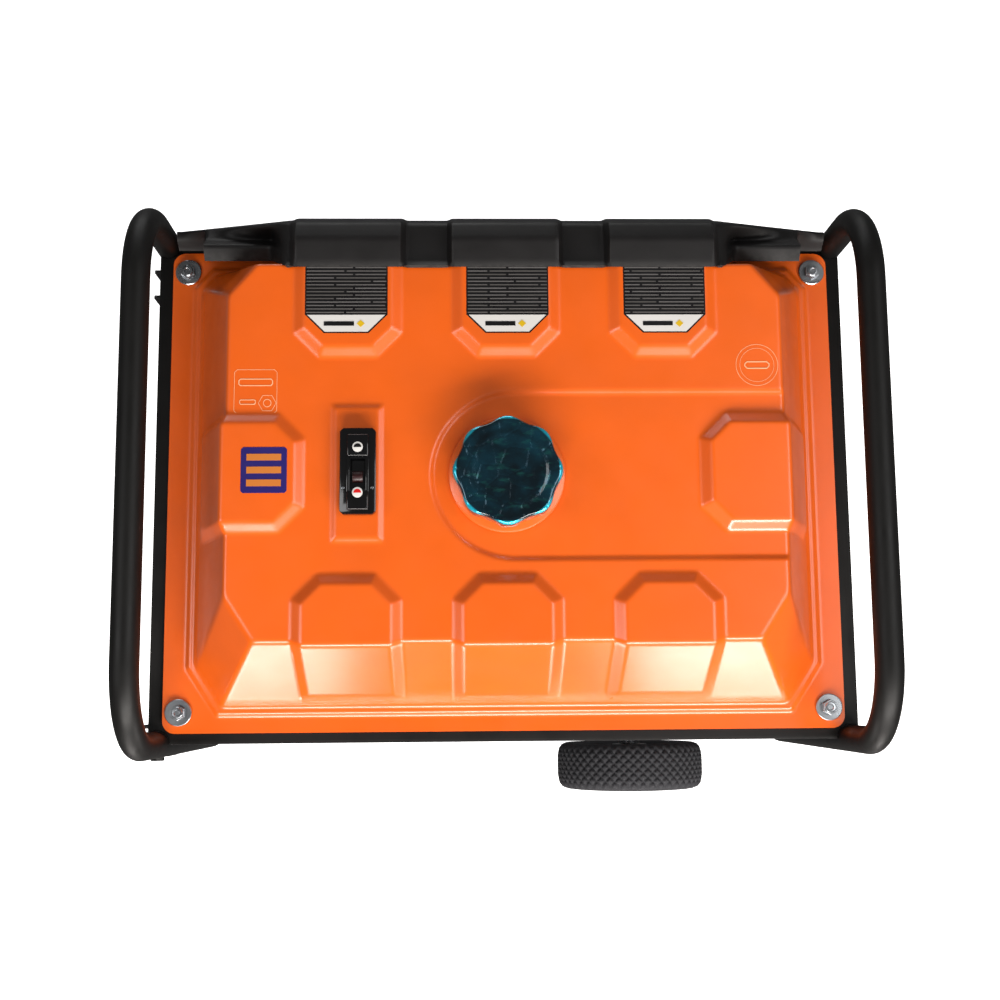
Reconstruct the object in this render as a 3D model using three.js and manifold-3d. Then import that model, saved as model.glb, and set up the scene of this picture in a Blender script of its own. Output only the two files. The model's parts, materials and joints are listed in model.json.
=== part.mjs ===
// Portable open-frame generator with a fuel tank on top, a wheel kit and two folding handles.
// Millimetres, +Z up. The control panel faces -Y, the wheels are at the -X end and the handles at +X.
// The origin is on the floor, under the centre of the whole outline.
import * as THREE from 'three';
import { mergeVertices } from 'three/addons/utils/BufferGeometryUtils.js';
import Module from 'manifold-3d';

const wasm = await Module();
wasm.setup();

// ---------------------------------------------------------------- driving dimensions
const GAP = 0.3;                    // between neighbours that touch or are bolted together
const STEEL_SHEET = 3;

// frame of bent tube
const TUBE_R = 12.7;
const FRAME_LENGTH = 681;
const FRAME_DEPTH = 509.4;
const FRAME_TOP = 620.7;
const FRAME_BOTTOM = 106.3;
const BEND_R = 72;
const BASE_RAIL_Y = 150;
const RAIL_LEAF = 40;
const RAIL_DROP = 25;
const RAIL_OVERHANG = 7.2;          // how far the side rails stand outside the hoop's centre plane

// fuel tank: a pressed upper shell over a shallow pan, seamed at a flat flange
const TANK_FLANGE_TOP = 485;
const FLANGE_SET_IN_X = 14;         // from the rails' outer faces in to the flange's edges
const FLANGE_SET_IN_Y = 10;
const FLANGE_SHEET = 2.2;
const FLANGE_CORNER_R = 12;
const TANK_RISE = 100;
const TANK_PAN_DEPTH = 30;
const TANK_WALL = 3;
const TANK_ROOF = 6;
const LEDGE_X = 21;                 // from the flange's edge in to the foot of the slopes
const LEDGE_Y = 15;
const SLOPE_RUN_X = 50;             // from that foot in to the edge of the flat top
const SLOPE_RUN_FRONT = 27;
const SLOPE_RUN_REAR = 65;
const PAN_CLEARANCE = 2;            // between the pan and the rails' leaves
const PAD_RISE = 6;
const PAD_PITCH = 142;
const PAD_HALF = 49;
const PAD_BEVEL = 6;
const CHANNEL_R = 76;
const CHANNEL_DEPTH = 2.5;
const FILLER_Y = 4.5;
const NECK_R = 36;
const CAP_R = 47;
const CAP_LOBE = 1.8;
const CAP_LOBES = 8;
const CAP_HEIGHT = 25;
const GAUGE_X = 131.7;
const GAUGE_Y = 2.5;
const GAUGE_LENGTH = 77;
const GAUGE_WIDTH = 32;
const GAUGE_HEIGHT = 12;
const PLINTH_SIDE = 7;              // how far the plinth reaches past the gauge
const PLINTH_END = 23;
const PLINTH_RISE = 3;
const GAUGE_WINDOW = [13, 26];
const FLOAT_ARM = 96;
const FLOAT_PIVOT_DROP = 24;
const BOLT_SET_IN_X = 15;           // from the flange's edge in to the bolts
const BOLT_SET_IN_Y = 19.5;
const BOLT_R = 4;
const BOLT_CLEARANCE = 0.5;
const WASHER_R = 12.5;

// wheels, axle and feet
const WHEEL_R = 88;
const WHEEL_WIDTH = 54;
const WHEEL_X = -163;
const WHEEL_SIDE_GAP = 2.5;
const RIM_R = 52;
const WHEEL_SIDES = 24;             // the tyre's bore and the rim share their corners
const AXLE_R = 8;
const RUNNING = 0.4;                // radial clearance of a turning fit
const FOOT_R = 22;
const FOOT_Y = 135;
const FOOT_HEIGHT = 42;
const POST_R = 10;
const POST_DEPTH = 14;              // how far a post stands in its rubber foot

// folding handles
const HANDLE_R = 10.5;
const HANDLE_LENGTH = 268;
const GRIP_R = 14.2;
const GRIP_LENGTH = 112;
const HANDLE_OFFSET = 29.2;         // from the hoop's centre plane out to the pivot
const HANDLE_PIVOT_Z = 335;
const EAR = 4;
const PIN_R = 4;

// engine and alternator on one crank axis along X
const CRANK_Y = -30;
const CRANK_Z = 300;
const ENGINE_X = -150;
const BLOCK_LENGTH = 150;
const CYLINDER_TILT = 25;           // degrees above the horizontal, towards the rear
const CYLINDER_HALF = 55;
const CROSS_WIDTH = 44;
const CROSS_HEIGHT = 16;
const MOUNT_R = 20;
const MOUNT_HEIGHT = 24;
const MOUNT_SPREAD = 70;
const SHAFT_R = 17;
const FLYWHEEL_R = 100;
const SHROUD_R = 128;
const SHROUD_DEPTH = 74;
const SHELL = 4;
const ROTOR_R = 60;
const AIR_GAP = 3;
const STATOR_R = 112;
const ALTERNATOR_LENGTH = 278;
const ALTERNATOR_MOUNT_X = 150;
const HEAD_START = 158;             // along the cylinder, from the crank axis
const HEAD_END = 194;
const COVER_END = 234;
const CARBURETTOR = { y: CRANK_Y + 155, z: CRANK_Z + 72, width: 29.4, depth: 45, height: 50 };
const MUFFLER = { width: 96, height: 116, length: 236, gap: 84, corner: 30, rim: 10 };
const AIR_CLEANER = { width: 72, depth: 104, height: 124, corner: 16, rim: 7 };

// fuel tap and hose
const TAP_X = -215;
const TAP_Y = -150;
const TAP_DROP = 44;
const HOSE_R = 4;

// control panel
const PANEL_BOTTOM = 340;
const PANEL_TOP = 500;
const PANEL_SET_IN = 23;            // from the rails' outer faces in to the panel's ends
const PANEL_STANDOFF = 1;
const PANEL_SHEET = 3.2;
const PANEL_RETURN = 34;
const SOCKET_R = 24;
const SOCKET_PITCH = 84;
const SOCKET_X = 105;
const SOCKET_Z = 415;
const SOCKET_FLANGE = 60;
const SWITCHES = [['engine_switch', -228], ['breaker_switch', -20]];
const HOOD_LIP = 5.5;               // how far the hood reaches over the edge of the flat top
const HOOD_WALL = 3;

// ---------------------------------------------------------------- values that follow from them
const HOOP_X = FRAME_LENGTH / 2 - TUBE_R;
const LEG_Y = FRAME_DEPTH / 2 - TUBE_R;
const HOOP_TOP_Z = FRAME_TOP - TUBE_R;
const HOOP_BOTTOM_Z = FRAME_BOTTOM + TUBE_R;
const RAIL_X = HOOP_X + RAIL_OVERHANG;
const RAIL_Y = LEG_Y;
const TANK_FLANGE_X = RAIL_X - FLANGE_SET_IN_X;
const TANK_FLANGE_Y = RAIL_Y - FLANGE_SET_IN_Y;
const TANK_BOLT_X = TANK_FLANGE_X - BOLT_SET_IN_X;
const TANK_BOLT_Y = TANK_FLANGE_Y - BOLT_SET_IN_Y;
const TANK_FOOT_X = TANK_FLANGE_X - LEDGE_X;
const TANK_FOOT_Y = TANK_FLANGE_Y - LEDGE_Y;
const TANK_TOP_X = TANK_FOOT_X - SLOPE_RUN_X;
const TANK_TOP_FRONT = TANK_FOOT_Y - SLOPE_RUN_FRONT;
const TANK_TOP_REAR = TANK_FOOT_Y - SLOPE_RUN_REAR;
const PANEL_HALF = RAIL_X - PANEL_SET_IN;
const FLANGE_BOTTOM = TANK_FLANGE_TOP - 2 * FLANGE_SHEET - GAP;
const RAIL_TOP = FLANGE_BOTTOM - GAP;
const TANK_TOP = TANK_FLANGE_TOP + TANK_RISE;
const PAN_BOTTOM = FLANGE_BOTTOM - TANK_PAN_DEPTH;
const PAN_X = RAIL_X - RAIL_LEAF - PAN_CLEARANCE;
const PAN_Y = RAIL_Y - RAIL_LEAF - PAN_CLEARANCE;
const CROSS_TOP = HOOP_BOTTOM_Z + TUBE_R + GAP + CROSS_HEIGHT;
const MOUNT_TOP = CROSS_TOP + GAP + MOUNT_HEIGHT;
const ENGINE_BASE = MOUNT_TOP + GAP;
const BLOCK_START = ENGINE_X - BLOCK_LENGTH / 2;
const BLOCK_END = ENGINE_X + BLOCK_LENGTH / 2;
const HANDLE_X = HOOP_X + HANDLE_OFFSET;
const WHEEL_Y = FRAME_DEPTH / 2 + WHEEL_SIDE_GAP + WHEEL_WIDTH / 2;
const PANEL_FRONT = -(RAIL_Y + PANEL_STANDOFF + PANEL_SHEET);
const X_MAX = HANDLE_X + GRIP_R;
const X_MIN = -FRAME_LENGTH / 2;
const CENTRE_X = (X_MAX + X_MIN) / 2;

// ---------------------------------------------------------------- materials
const finish = (color, roughness, metalness = 0) => () =>
  new THREE.MeshStandardMaterial({ color, roughness, metalness });
const orangePaint = finish(0xec6516, 0.4);
const blackPaint = finish(0x17171a, 0.55);
const blackPlastic = finish(0x1e1e20, 0.6);
const glossPlastic = finish(0x101012, 0.25);
const rubber = finish(0x141414, 0.85);
const zinc = finish(0xb9bcc0, 0.35, 0.9);
const castAlloy = finish(0xa5a8ab, 0.5, 0.8);
const chrome = finish(0x2c88a4, 0.2, 0.9);
const darkSteel = finish(0x3b3c3f, 0.45, 0.8);
const muffled = finish(0x6c6a66, 0.5, 0.8);
const redPlastic = finish(0xb01d18, 0.4);
const greyPlastic = finish(0x4c5055, 0.55);

// ---------------------------------------------------------------- geometry helpers
const X_AXIS = new THREE.Vector3(1, 0, 0);
const Y_AXIS = new THREE.Vector3(0, 1, 0);
const Z_AXIS = new THREE.Vector3(0, 0, 1);

/** Keeps positions only, merges shared corners, drops empty triangles and turns the faces outwards. */
function clean(geometry) {
  const bare = new THREE.BufferGeometry();
  bare.setAttribute('position', geometry.getAttribute('position').clone());
  if (geometry.index) bare.setIndex(geometry.index.clone());
  const merged = mergeVertices(bare, 1e-3);
  const position = merged.getAttribute('position');
  const source = merged.index.array;
  const kept = [];
  let volume = 0;
  const corner = [new THREE.Vector3(), new THREE.Vector3(), new THREE.Vector3()];
  for (let i = 0; i < source.length; i += 3) {
    const [a, b, c] = [source[i], source[i + 1], source[i + 2]];
    if (a === b || b === c || a === c) continue;
    [a, b, c].forEach((vertex, k) => corner[k].fromBufferAttribute(position, vertex));
    volume += corner[0].dot(corner[1].clone().cross(corner[2]));
    kept.push(a, b, c);
  }
  if (volume < 0) {
    for (let i = 0; i < kept.length; i += 3) [kept[i], kept[i + 1]] = [kept[i + 1], kept[i]];
  }
  merged.setIndex(kept);
  return merged;
}

function toSolid(geometry) {
  const merged = clean(geometry);
  return new wasm.Manifold(new wasm.Mesh({
    numProp: 3,
    vertProperties: new Float32Array(merged.getAttribute('position').array),
    triVerts: new Uint32Array(merged.index.array),
  }));
}

function toGeometry(solid) {
  const mesh = solid.getMesh();
  const geometry = new THREE.BufferGeometry();
  geometry.setAttribute('position', new THREE.BufferAttribute(new Float32Array(mesh.vertProperties), 3));
  geometry.setIndex(new THREE.BufferAttribute(new Uint32Array(mesh.triVerts), 1));
  return geometry;
}

/** Joins pieces to a base, then cuts others from it. */
function combine(base, { add = [], cut = [] } = {}) {
  let solid = toSolid(base);
  for (const piece of add) solid = solid.add(toSolid(piece));
  for (const piece of cut) solid = solid.subtract(toSolid(piece));
  return toGeometry(solid);
}

const block = (size, centre) => new THREE.BoxGeometry(...size).translate(...centre);

/** A box given by its lowest and highest corners. */
function span(low, high) {
  const size = low.map((value, i) => high[i] - value);
  const centre = low.map((value, i) => (high[i] + value) / 2);
  return block(size, centre);
}

function turnTo(geometry, axis) {
  const turn = new THREE.Quaternion().setFromUnitVectors(Y_AXIS, axis);
  return geometry.applyQuaternion(turn);
}

function rod(radius, length, axis, centre, sides = 16) {
  return turnTo(new THREE.CylinderGeometry(radius, radius, length, sides), axis).translate(...centre);
}

/** A cutter for a round hole: its flats, not its corners, stand at the given radius. */
function drill(radius, length, axis, centre, sides = 24) {
  return rod(radius / Math.cos(Math.PI / sides), length, axis, centre, sides);
}

/** A turned piece: profile holds [radius, height] pairs along the axis, closed onto the axis or itself. */
function revolve(profile, axis, centre = [0, 0, 0], sides = 24) {
  const points = profile.map(([radius, height]) => new THREE.Vector2(radius, height));
  return turnTo(new THREE.LatheGeometry(points, sides), axis).translate(...centre);
}

function roundedOutline(width, height, radius) {
  const [w, h, r] = [width / 2, height / 2, Math.min(radius, width / 2 - 0.1, height / 2 - 0.1)];
  const shape = new THREE.Shape();
  shape.moveTo(w - r, -h);
  shape.absarc(w - r, -h + r, r, -Math.PI / 2, 0);
  shape.absarc(w - r, h - r, r, 0, Math.PI / 2);
  shape.absarc(-w + r, h - r, r, Math.PI / 2, Math.PI);
  shape.absarc(-w + r, -h + r, r, Math.PI, Math.PI * 1.5);
  shape.closePath();
  return shape;
}

/** A plate with rounded corners, its outline in XY and its base at z = 0. */
function plate(width, depth, height, radius, curveSegments = 2) {
  return new THREE.ExtrudeGeometry(roundedOutline(width, depth, radius),
    { depth: height, bevelEnabled: false, curveSegments });
}

/** A box with rounded upright edges and chamfered rims, its base at z = 0. */
function casting(width, depth, height, radius, rim, curveSegments = 2) {
  const options = { depth: height - 2 * rim, bevelThickness: rim, bevelSize: rim, bevelOffset: -rim,
    bevelSegments: 1, curveSegments };
  return new THREE.ExtrudeGeometry(roundedOutline(width, depth, radius), options).translate(0, 0, rim);
}

/** Skins a row of outlines, each an array of points, into one closed solid. */
function loft(sections, ring = false) {
  const count = sections[0].length;
  const positions = sections.flat().flatMap((point) => point.toArray());
  const index = [];
  const last = ring ? sections.length : sections.length - 1;
  for (let s = 0; s < last; s += 1) {
    const here = s * count;
    const next = ((s + 1) % sections.length) * count;
    for (let i = 0; i < count; i += 1) {
      const j = (i + 1) % count;
      index.push(here + i, here + j, next + j, here + i, next + j, next + i);
    }
  }
  if (!ring) {
    for (const [start, flip] of [[0, true], [(sections.length - 1) * count, false]]) {
      for (const [a, b, c] of capTriangles(sections[start / count])) {
        index.push(start + a, start + (flip ? c : b), start + (flip ? b : c));
      }
    }
  }
  const geometry = new THREE.BufferGeometry();
  geometry.setAttribute('position', new THREE.Float32BufferAttribute(positions, 3));
  geometry.setIndex(index);
  return geometry;
}

/** Triangulates a flat outline in space, wound the way the outline runs. */
function capTriangles(outline) {
  const normal = new THREE.Vector3();
  outline.forEach((point, i) => normal.add(point.clone().cross(outline[(i + 1) % outline.length])));
  normal.normalize();
  const turn = new THREE.Quaternion().setFromUnitVectors(normal, Z_AXIS);
  const flat = outline.map((point) => point.clone().applyQuaternion(turn));
  return THREE.ShapeUtils.triangulateShape(flat.map((point) => new THREE.Vector2(point.x, point.y)), []);
}

const atHeight = (outline, z) => outline.map(([x, y]) => new THREE.Vector3(x, y, z));

const generator = new THREE.Group();

/** Adds one named piece to a group. */
function part(name, geometry, material, position = [0, 0, 0], parent = generator) {
  const mesh = new THREE.Mesh(clean(geometry), material());
  mesh.name = name;
  mesh.position.set(...position);
  parent.add(mesh);
  return mesh;
}

// ---------------------------------------------------------------- frame
/** One closed hoop of bent tube in the YZ plane, centred on x = 0. */
function hoop() {
  const corners = [[1, 1], [-1, 1], [-1, -1], [1, -1]];
  const bendSteps = 4;
  const sides = 12;
  const sections = [];
  corners.forEach(([sy, sz], quarter) => {
    const centreY = sy * (LEG_Y - BEND_R);
    const centreZ = sz > 0 ? HOOP_TOP_Z - BEND_R : HOOP_BOTTOM_Z + BEND_R;
    for (let step = 0; step <= bendSteps; step += 1) {
      const angle = (quarter + step / bendSteps) * Math.PI / 2;
      const outward = new THREE.Vector3(0, Math.cos(angle), Math.sin(angle));
      const centre = new THREE.Vector3(0, centreY, centreZ).addScaledVector(outward, BEND_R);
      const section = [];
      for (let i = 0; i < sides; i += 1) {
        const around = (i / sides) * Math.PI * 2;
        section.push(centre.clone().addScaledVector(outward, TUBE_R * Math.cos(around))
          .addScaledVector(X_AXIS, TUBE_R * Math.sin(around)));
      }
      sections.push(section);
    }
  });
  return loft(sections, true);
}

function addHoops() {
  part('hoop_wheel_end', hoop(), blackPaint, [-HOOP_X, 0, 0]);
  const postTop = HOOP_BOTTOM_Z;
  const postBottom = FOOT_HEIGHT - POST_DEPTH;
  const posts = [-1, 1].map((side) =>
    rod(POST_R, postTop - postBottom, Z_AXIS, [0, side * FOOT_Y, (postTop + postBottom) / 2], 12));
  part('hoop_handle_end', combine(hoop(), { add: posts }), blackPaint, [HOOP_X, 0, 0]);
}

/** Angle-section rails round the tank, notched round the four legs. */
function addTankRails() {
  const outer = span([-RAIL_X, -RAIL_Y, RAIL_TOP - RAIL_DROP], [RAIL_X, RAIL_Y, RAIL_TOP]);
  const under = span([-RAIL_X + STEEL_SHEET, -RAIL_Y + STEEL_SHEET, RAIL_TOP - RAIL_DROP - 1],
    [RAIL_X - STEEL_SHEET, RAIL_Y - STEEL_SHEET, RAIL_TOP - STEEL_SHEET]);
  const window = span([-RAIL_X + RAIL_LEAF, -RAIL_Y + RAIL_LEAF, RAIL_TOP - RAIL_DROP - 1],
    [RAIL_X - RAIL_LEAF, RAIL_Y - RAIL_LEAF, RAIL_TOP + 1]);
  const legs = cornersOf(HOOP_X, LEG_Y).map(([x, y]) =>
    drill(TUBE_R + GAP, 4 * RAIL_DROP, Z_AXIS, [x, y, RAIL_TOP]));
  const holes = cornersOf(TANK_BOLT_X, TANK_BOLT_Y).map(([x, y]) =>
    drill(BOLT_R + BOLT_CLEARANCE, 4 * RAIL_DROP, Z_AXIS, [x, y, RAIL_TOP], 12));
  part('tank_rail_frame', combine(outer, { cut: [under, window, ...legs, ...holes] }), blackPaint);
}

function cornersOf(x, y) {
  return [[x, y], [-x, y], [-x, -y], [x, -y]];
}

/** Base rails along X, saddled onto the hoops, each with a lug that carries the wheel axle. */
function addBaseRails() {
  const [lugHalf, lugHalfSheet, lugUnder] = [23, 3, 12];
  const lugBottom = WHEEL_R - AXLE_R - lugUnder;
  for (const [name, side] of [['front', -1], ['rear', 1]]) {
    const tube = rod(TUBE_R, 2 * HOOP_X, X_AXIS, [0, 0, HOOP_BOTTOM_Z], 12);
    const lug = span([WHEEL_X - lugHalf, -lugHalfSheet, lugBottom],
      [WHEEL_X + lugHalf, lugHalfSheet, HOOP_BOTTOM_Z]);
    const saddles = [-1, 1].map((end) =>
      drill(TUBE_R + GAP, 8 * TUBE_R, Y_AXIS, [end * HOOP_X, 0, HOOP_BOTTOM_Z]));
    const bore = drill(AXLE_R + GAP, 8 * lugHalfSheet, Y_AXIS, [WHEEL_X, 0, WHEEL_R]);
    part(`base_rail_${name}`, combine(tube, { add: [lug], cut: [...saddles, bore] }), blackPaint,
      [0, side * BASE_RAIL_Y, 0]);
  }
}

/** Inverted channels across the base rails, with a rubber mount at each corner of the set. */
function addCrossMembers() {
  const overhang = 22;
  const length = 2 * (BASE_RAIL_Y + overhang);
  const wall = STEEL_SHEET;
  const channel = new THREE.Shape([
    [-CROSS_WIDTH / 2, 0], [-CROSS_WIDTH / 2 + wall, 0], [-CROSS_WIDTH / 2 + wall, CROSS_HEIGHT - wall],
    [CROSS_WIDTH / 2 - wall, CROSS_HEIGHT - wall], [CROSS_WIDTH / 2 - wall, 0], [CROSS_WIDTH / 2, 0],
    [CROSS_WIDTH / 2, CROSS_HEIGHT], [-CROSS_WIDTH / 2, CROSS_HEIGHT],
  ].map(([x, y]) => new THREE.Vector2(x, y)));
  const [washer, waist, waistStart] = [4, MOUNT_R - 4, 9];
  const bobbin = [[0, 0], [MOUNT_R, 0], [MOUNT_R, washer], [waist, waistStart],
    [waist, MOUNT_HEIGHT - waistStart], [MOUNT_R, MOUNT_HEIGHT - washer], [MOUNT_R, MOUNT_HEIGHT],
    [0, MOUNT_HEIGHT]];
  for (const [name, x] of [['engine', ENGINE_X], ['alternator', ALTERNATOR_MOUNT_X]]) {
    const beam = new THREE.ExtrudeGeometry(channel, { depth: length, bevelEnabled: false })
      .rotateX(Math.PI / 2).translate(0, length / 2, 0);
    part(`cross_member_${name}`, beam, blackPaint, [x, 0, CROSS_TOP - CROSS_HEIGHT]);
    for (const [end, side] of [['front', -1], ['rear', 1]]) {
      part(`vibration_mount_${name}_${end}`, revolve(bobbin, Z_AXIS, [0, 0, 0], 10), rubber,
        [x, CRANK_Y + side * MOUNT_SPREAD, CROSS_TOP + GAP]);
    }
  }
}

function addFeet() {
  const socket = drill(POST_R + GAP, FOOT_HEIGHT, Z_AXIS, [0, 0, 1.5 * FOOT_HEIGHT - POST_DEPTH - GAP], 16);
  const profile = [[0, 0], [FOOT_R - 2, 0], [FOOT_R, 3], [FOOT_R - 3, FOOT_HEIGHT - 3],
    [FOOT_R - 6, FOOT_HEIGHT], [0, FOOT_HEIGHT]];
  for (const [name, side] of [['front', -1], ['rear', 1]]) {
    part(`rubber_foot_${name}`, combine(revolve(profile, Z_AXIS, [0, 0, 0], 14), { cut: [socket] }), rubber,
      [HOOP_X, side * FOOT_Y, 0]);
  }
}

// ---------------------------------------------------------------- wheels
function addWheels() {
  const half = WHEEL_WIDTH / 2;
  const [shoulder, bead, hub, hubHalf, discHalf] = [11, 8, 22, half - 2, 8];
  const tyreProfile = [[RIM_R, -half + bead], [RIM_R + 6, -half + 2], [WHEEL_R - 20, -half],
    [WHEEL_R - 7, -half + 4], [WHEEL_R, -half + shoulder], [WHEEL_R, half - shoulder],
    [WHEEL_R - 7, half - 4], [WHEEL_R - 20, half], [RIM_R + 6, half - 2], [RIM_R, half - bead],
    [RIM_R, -half + bead]];
  const hubR = AXLE_R + RUNNING;
  const rimR = RIM_R - GAP;
  const rimProfile = [[hubR, -hubHalf], [hub, -hubHalf], [hub, -discHalf], [rimR - 8, -discHalf / 2],
    [rimR - 6, -half + bead], [rimR, -half + bead - 1], [rimR, half - bead + 1], [rimR - 6, half - bead],
    [rimR - 8, discHalf / 2], [hub, discHalf], [hub, hubHalf], [hubR, hubHalf], [hubR, -hubHalf]];
  for (const [name, side] of [['front', -1], ['rear', 1]]) {
    const centre = [WHEEL_X, side * WHEEL_Y, WHEEL_R];
    part(`tyre_${name}`, revolve(tyreProfile, Y_AXIS, [0, 0, 0], WHEEL_SIDES), rubber, centre);
    part(`wheel_rim_${name}`, revolve(rimProfile, Y_AXIS, [0, 0, 0], WHEEL_SIDES), greyPlastic, centre);
  }
  const axleHalf = WHEEL_Y + half - 1;
  const shoulderHalf = WHEEL_Y - half + 1.4;
  const collarHalf = FRAME_DEPTH / 2 - 6;
  const collarR = AXLE_R + 5;
  const axle = [[0, -axleHalf], [AXLE_R, -axleHalf], [AXLE_R, -shoulderHalf], [collarR, -shoulderHalf],
    [collarR, -collarHalf], [AXLE_R, -collarHalf], [AXLE_R, collarHalf], [collarR, collarHalf],
    [collarR, shoulderHalf], [AXLE_R, shoulderHalf], [AXLE_R, axleHalf], [0, axleHalf]];
  part('wheel_axle', revolve(axle, Y_AXIS, [0, 0, 0], 12), zinc, [WHEEL_X, 0, WHEEL_R]);
}

// ---------------------------------------------------------------- folding handles
function addHandles() {
  const tip = -HANDLE_LENGTH;
  const gripTop = tip + GRIP_LENGTH;
  const bar = [[0, tip + 4], [HANDLE_R, tip + 4], [HANDLE_R, 0]];
  const domeSteps = 3;
  for (let i = 1; i <= domeSteps; i += 1) {
    const angle = (i / domeSteps) * Math.PI / 2;
    bar.push([i === domeSteps ? 0 : HANDLE_R * Math.cos(angle), HANDLE_R * Math.sin(angle)]);
  }
  const bore = HANDLE_R + GAP;
  const grip = [[0, tip], [GRIP_R - 3, tip], [GRIP_R, tip + 3], [GRIP_R, gripTop - 2],
    [GRIP_R - 1.5, gripTop], [bore, gripTop], [bore, tip + 4 - GAP], [0, tip + 4 - GAP]];
  const webIn = HOOP_X + TUBE_R + GAP - HANDLE_X;
  const ear = HANDLE_R + 1.5;
  const [webDrop, webRise, webSheet, earHalf, earReach] = [20, 26, 2.6, 16, 13];
  const [headR, headHeight] = [7.5, 5.3];
  for (const [name, side] of [['front', -1], ['rear', 1]]) {
    const pivot = new THREE.Group();
    pivot.position.set(HANDLE_X, side * LEG_Y, HANDLE_PIVOT_Z);
    generator.add(pivot);
    const eye = drill(PIN_R + RUNNING, 4 * HANDLE_R, Y_AXIS, [0, 0, 0], 12);
    part(`handle_bar_${name}`, combine(revolve(bar, Z_AXIS, [0, 0, 0], 12), { cut: [eye] }), blackPaint,
      [0, 0, 0], pivot);
    part(`handle_grip_${name}`, revolve(grip, Z_AXIS, [0, 0, 0], 12), rubber, [0, 0, 0], pivot);
    const web = span([webIn, -ear - EAR, -webDrop], [webIn + webSheet, ear + EAR, webRise]);
    const ears = [-1, 1].map((end) => {
      const inner = end * ear;
      const outer = end * (ear + EAR);
      return span([webIn, Math.min(inner, outer), -earHalf], [earReach, Math.max(inner, outer), earHalf]);
    });
    const pinHalf = ear + EAR + 4;
    const pin = rod(PIN_R, 2 * pinHalf, Y_AXIS, [0, 0, 0], 12);
    const head = rod(headR, headHeight, Y_AXIS, [0, side * (ear + EAR + headHeight / 2), 0], 6);
    part(`handle_bracket_${name}`, combine(web, { add: [...ears, pin, head] }), blackPaint,
      [0, 0, 0], pivot);
  }
}

// ---------------------------------------------------------------- fuel tank
function footOutline(inset) {
  const [x, front, rear] = [TANK_FOOT_X - inset, TANK_FOOT_Y - inset, TANK_FOOT_Y - inset];
  return [[x, -front + 34], [x, rear - 62], [x - 40, rear], [-x + 40, rear], [-x, rear - 62],
    [-x, -front + 34], [-x + 30, -front], [x - 30, -front]];
}

function topOutline(inset) {
  const [x, front, rear] = [TANK_TOP_X - inset, TANK_TOP_FRONT - inset, TANK_TOP_REAR - inset];
  return [[x, -front + 32], [x, rear - 33], [x - 31, rear], [-x + 31, rear], [-x, rear - 33],
    [-x, -front + 32], [-x + 22, -front], [x - 22, -front]];
}

/**
 * A raised pad that starts on the flat top and runs over an edge and down the slope.
 * u runs outwards from the tank's centre, and v runs across the pad.
 */
function pad(start, half, topEdge, footEdge, turn, across) {
  const chamfer = 22;
  const foot = TANK_FLANGE_TOP + 8;
  const slope = (footEdge - topEdge) / TANK_RISE;
  const lean = Math.hypot(1, slope);
  const profile = (from, rise) => {
    const outerTop = topEdge + rise * (lean - slope);
    const outerFoot = footEdge - slope * (foot - TANK_FLANGE_TOP) + rise * lean;
    return [[from - Math.max(rise, 0), TANK_TOP - 2], [from, TANK_TOP + rise], [outerTop, TANK_TOP + rise],
      [outerFoot, foot], [outerFoot - 8, foot], [topEdge - 4, TANK_TOP - 10], [from, TANK_TOP - 10]];
  };
  const stations = [[-half - PAD_BEVEL, start + chamfer + 2, -1], [-half, start + chamfer, PAD_RISE],
    [-half + chamfer, start, PAD_RISE], [half - chamfer, start, PAD_RISE],
    [half, start + chamfer, PAD_RISE], [half + PAD_BEVEL, start + chamfer + 2, -1]];
  const sections = stations.map(([v, from, rise]) =>
    profile(from, rise).map(([u, z]) => new THREE.Vector3(v + across, u, z)));
  return loft(sections).applyQuaternion(new THREE.Quaternion().setFromAxisAngle(Z_AXIS, turn));
}

function tankPads() {
  const pads = [];
  for (const place of [-1, 0, 1]) {
    pads.push(pad(92, PAD_HALF, TANK_TOP_REAR, TANK_FOOT_Y, 0, place * PAD_PITCH));
    pads.push(pad(103, PAD_HALF, TANK_TOP_FRONT, TANK_FOOT_Y, Math.PI, place * PAD_PITCH));
  }
  pads.push(pad(182, PAD_HALF + 5, TANK_TOP_X, TANK_FOOT_X, -Math.PI / 2, -FILLER_Y));
  pads.push(pad(182, PAD_HALF + 5, TANK_TOP_X, TANK_FOOT_X, Math.PI / 2, FILLER_Y));
  return pads;
}

/** Bolt holes through the flange, and the room that its corners leave for the hoops' legs. */
function tankHoles() {
  const through = 40;
  const holes = cornersOf(TANK_BOLT_X, TANK_BOLT_Y).map(([x, y]) =>
    drill(BOLT_R + BOLT_CLEARANCE, through, Z_AXIS, [x, y, TANK_FLANGE_TOP], 12));
  const legs = cornersOf(HOOP_X, LEG_Y).map(([x, y]) =>
    drill(TUBE_R + GAP, through, Z_AXIS, [x, y, TANK_FLANGE_TOP]));
  return [...holes, ...legs];
}

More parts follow.
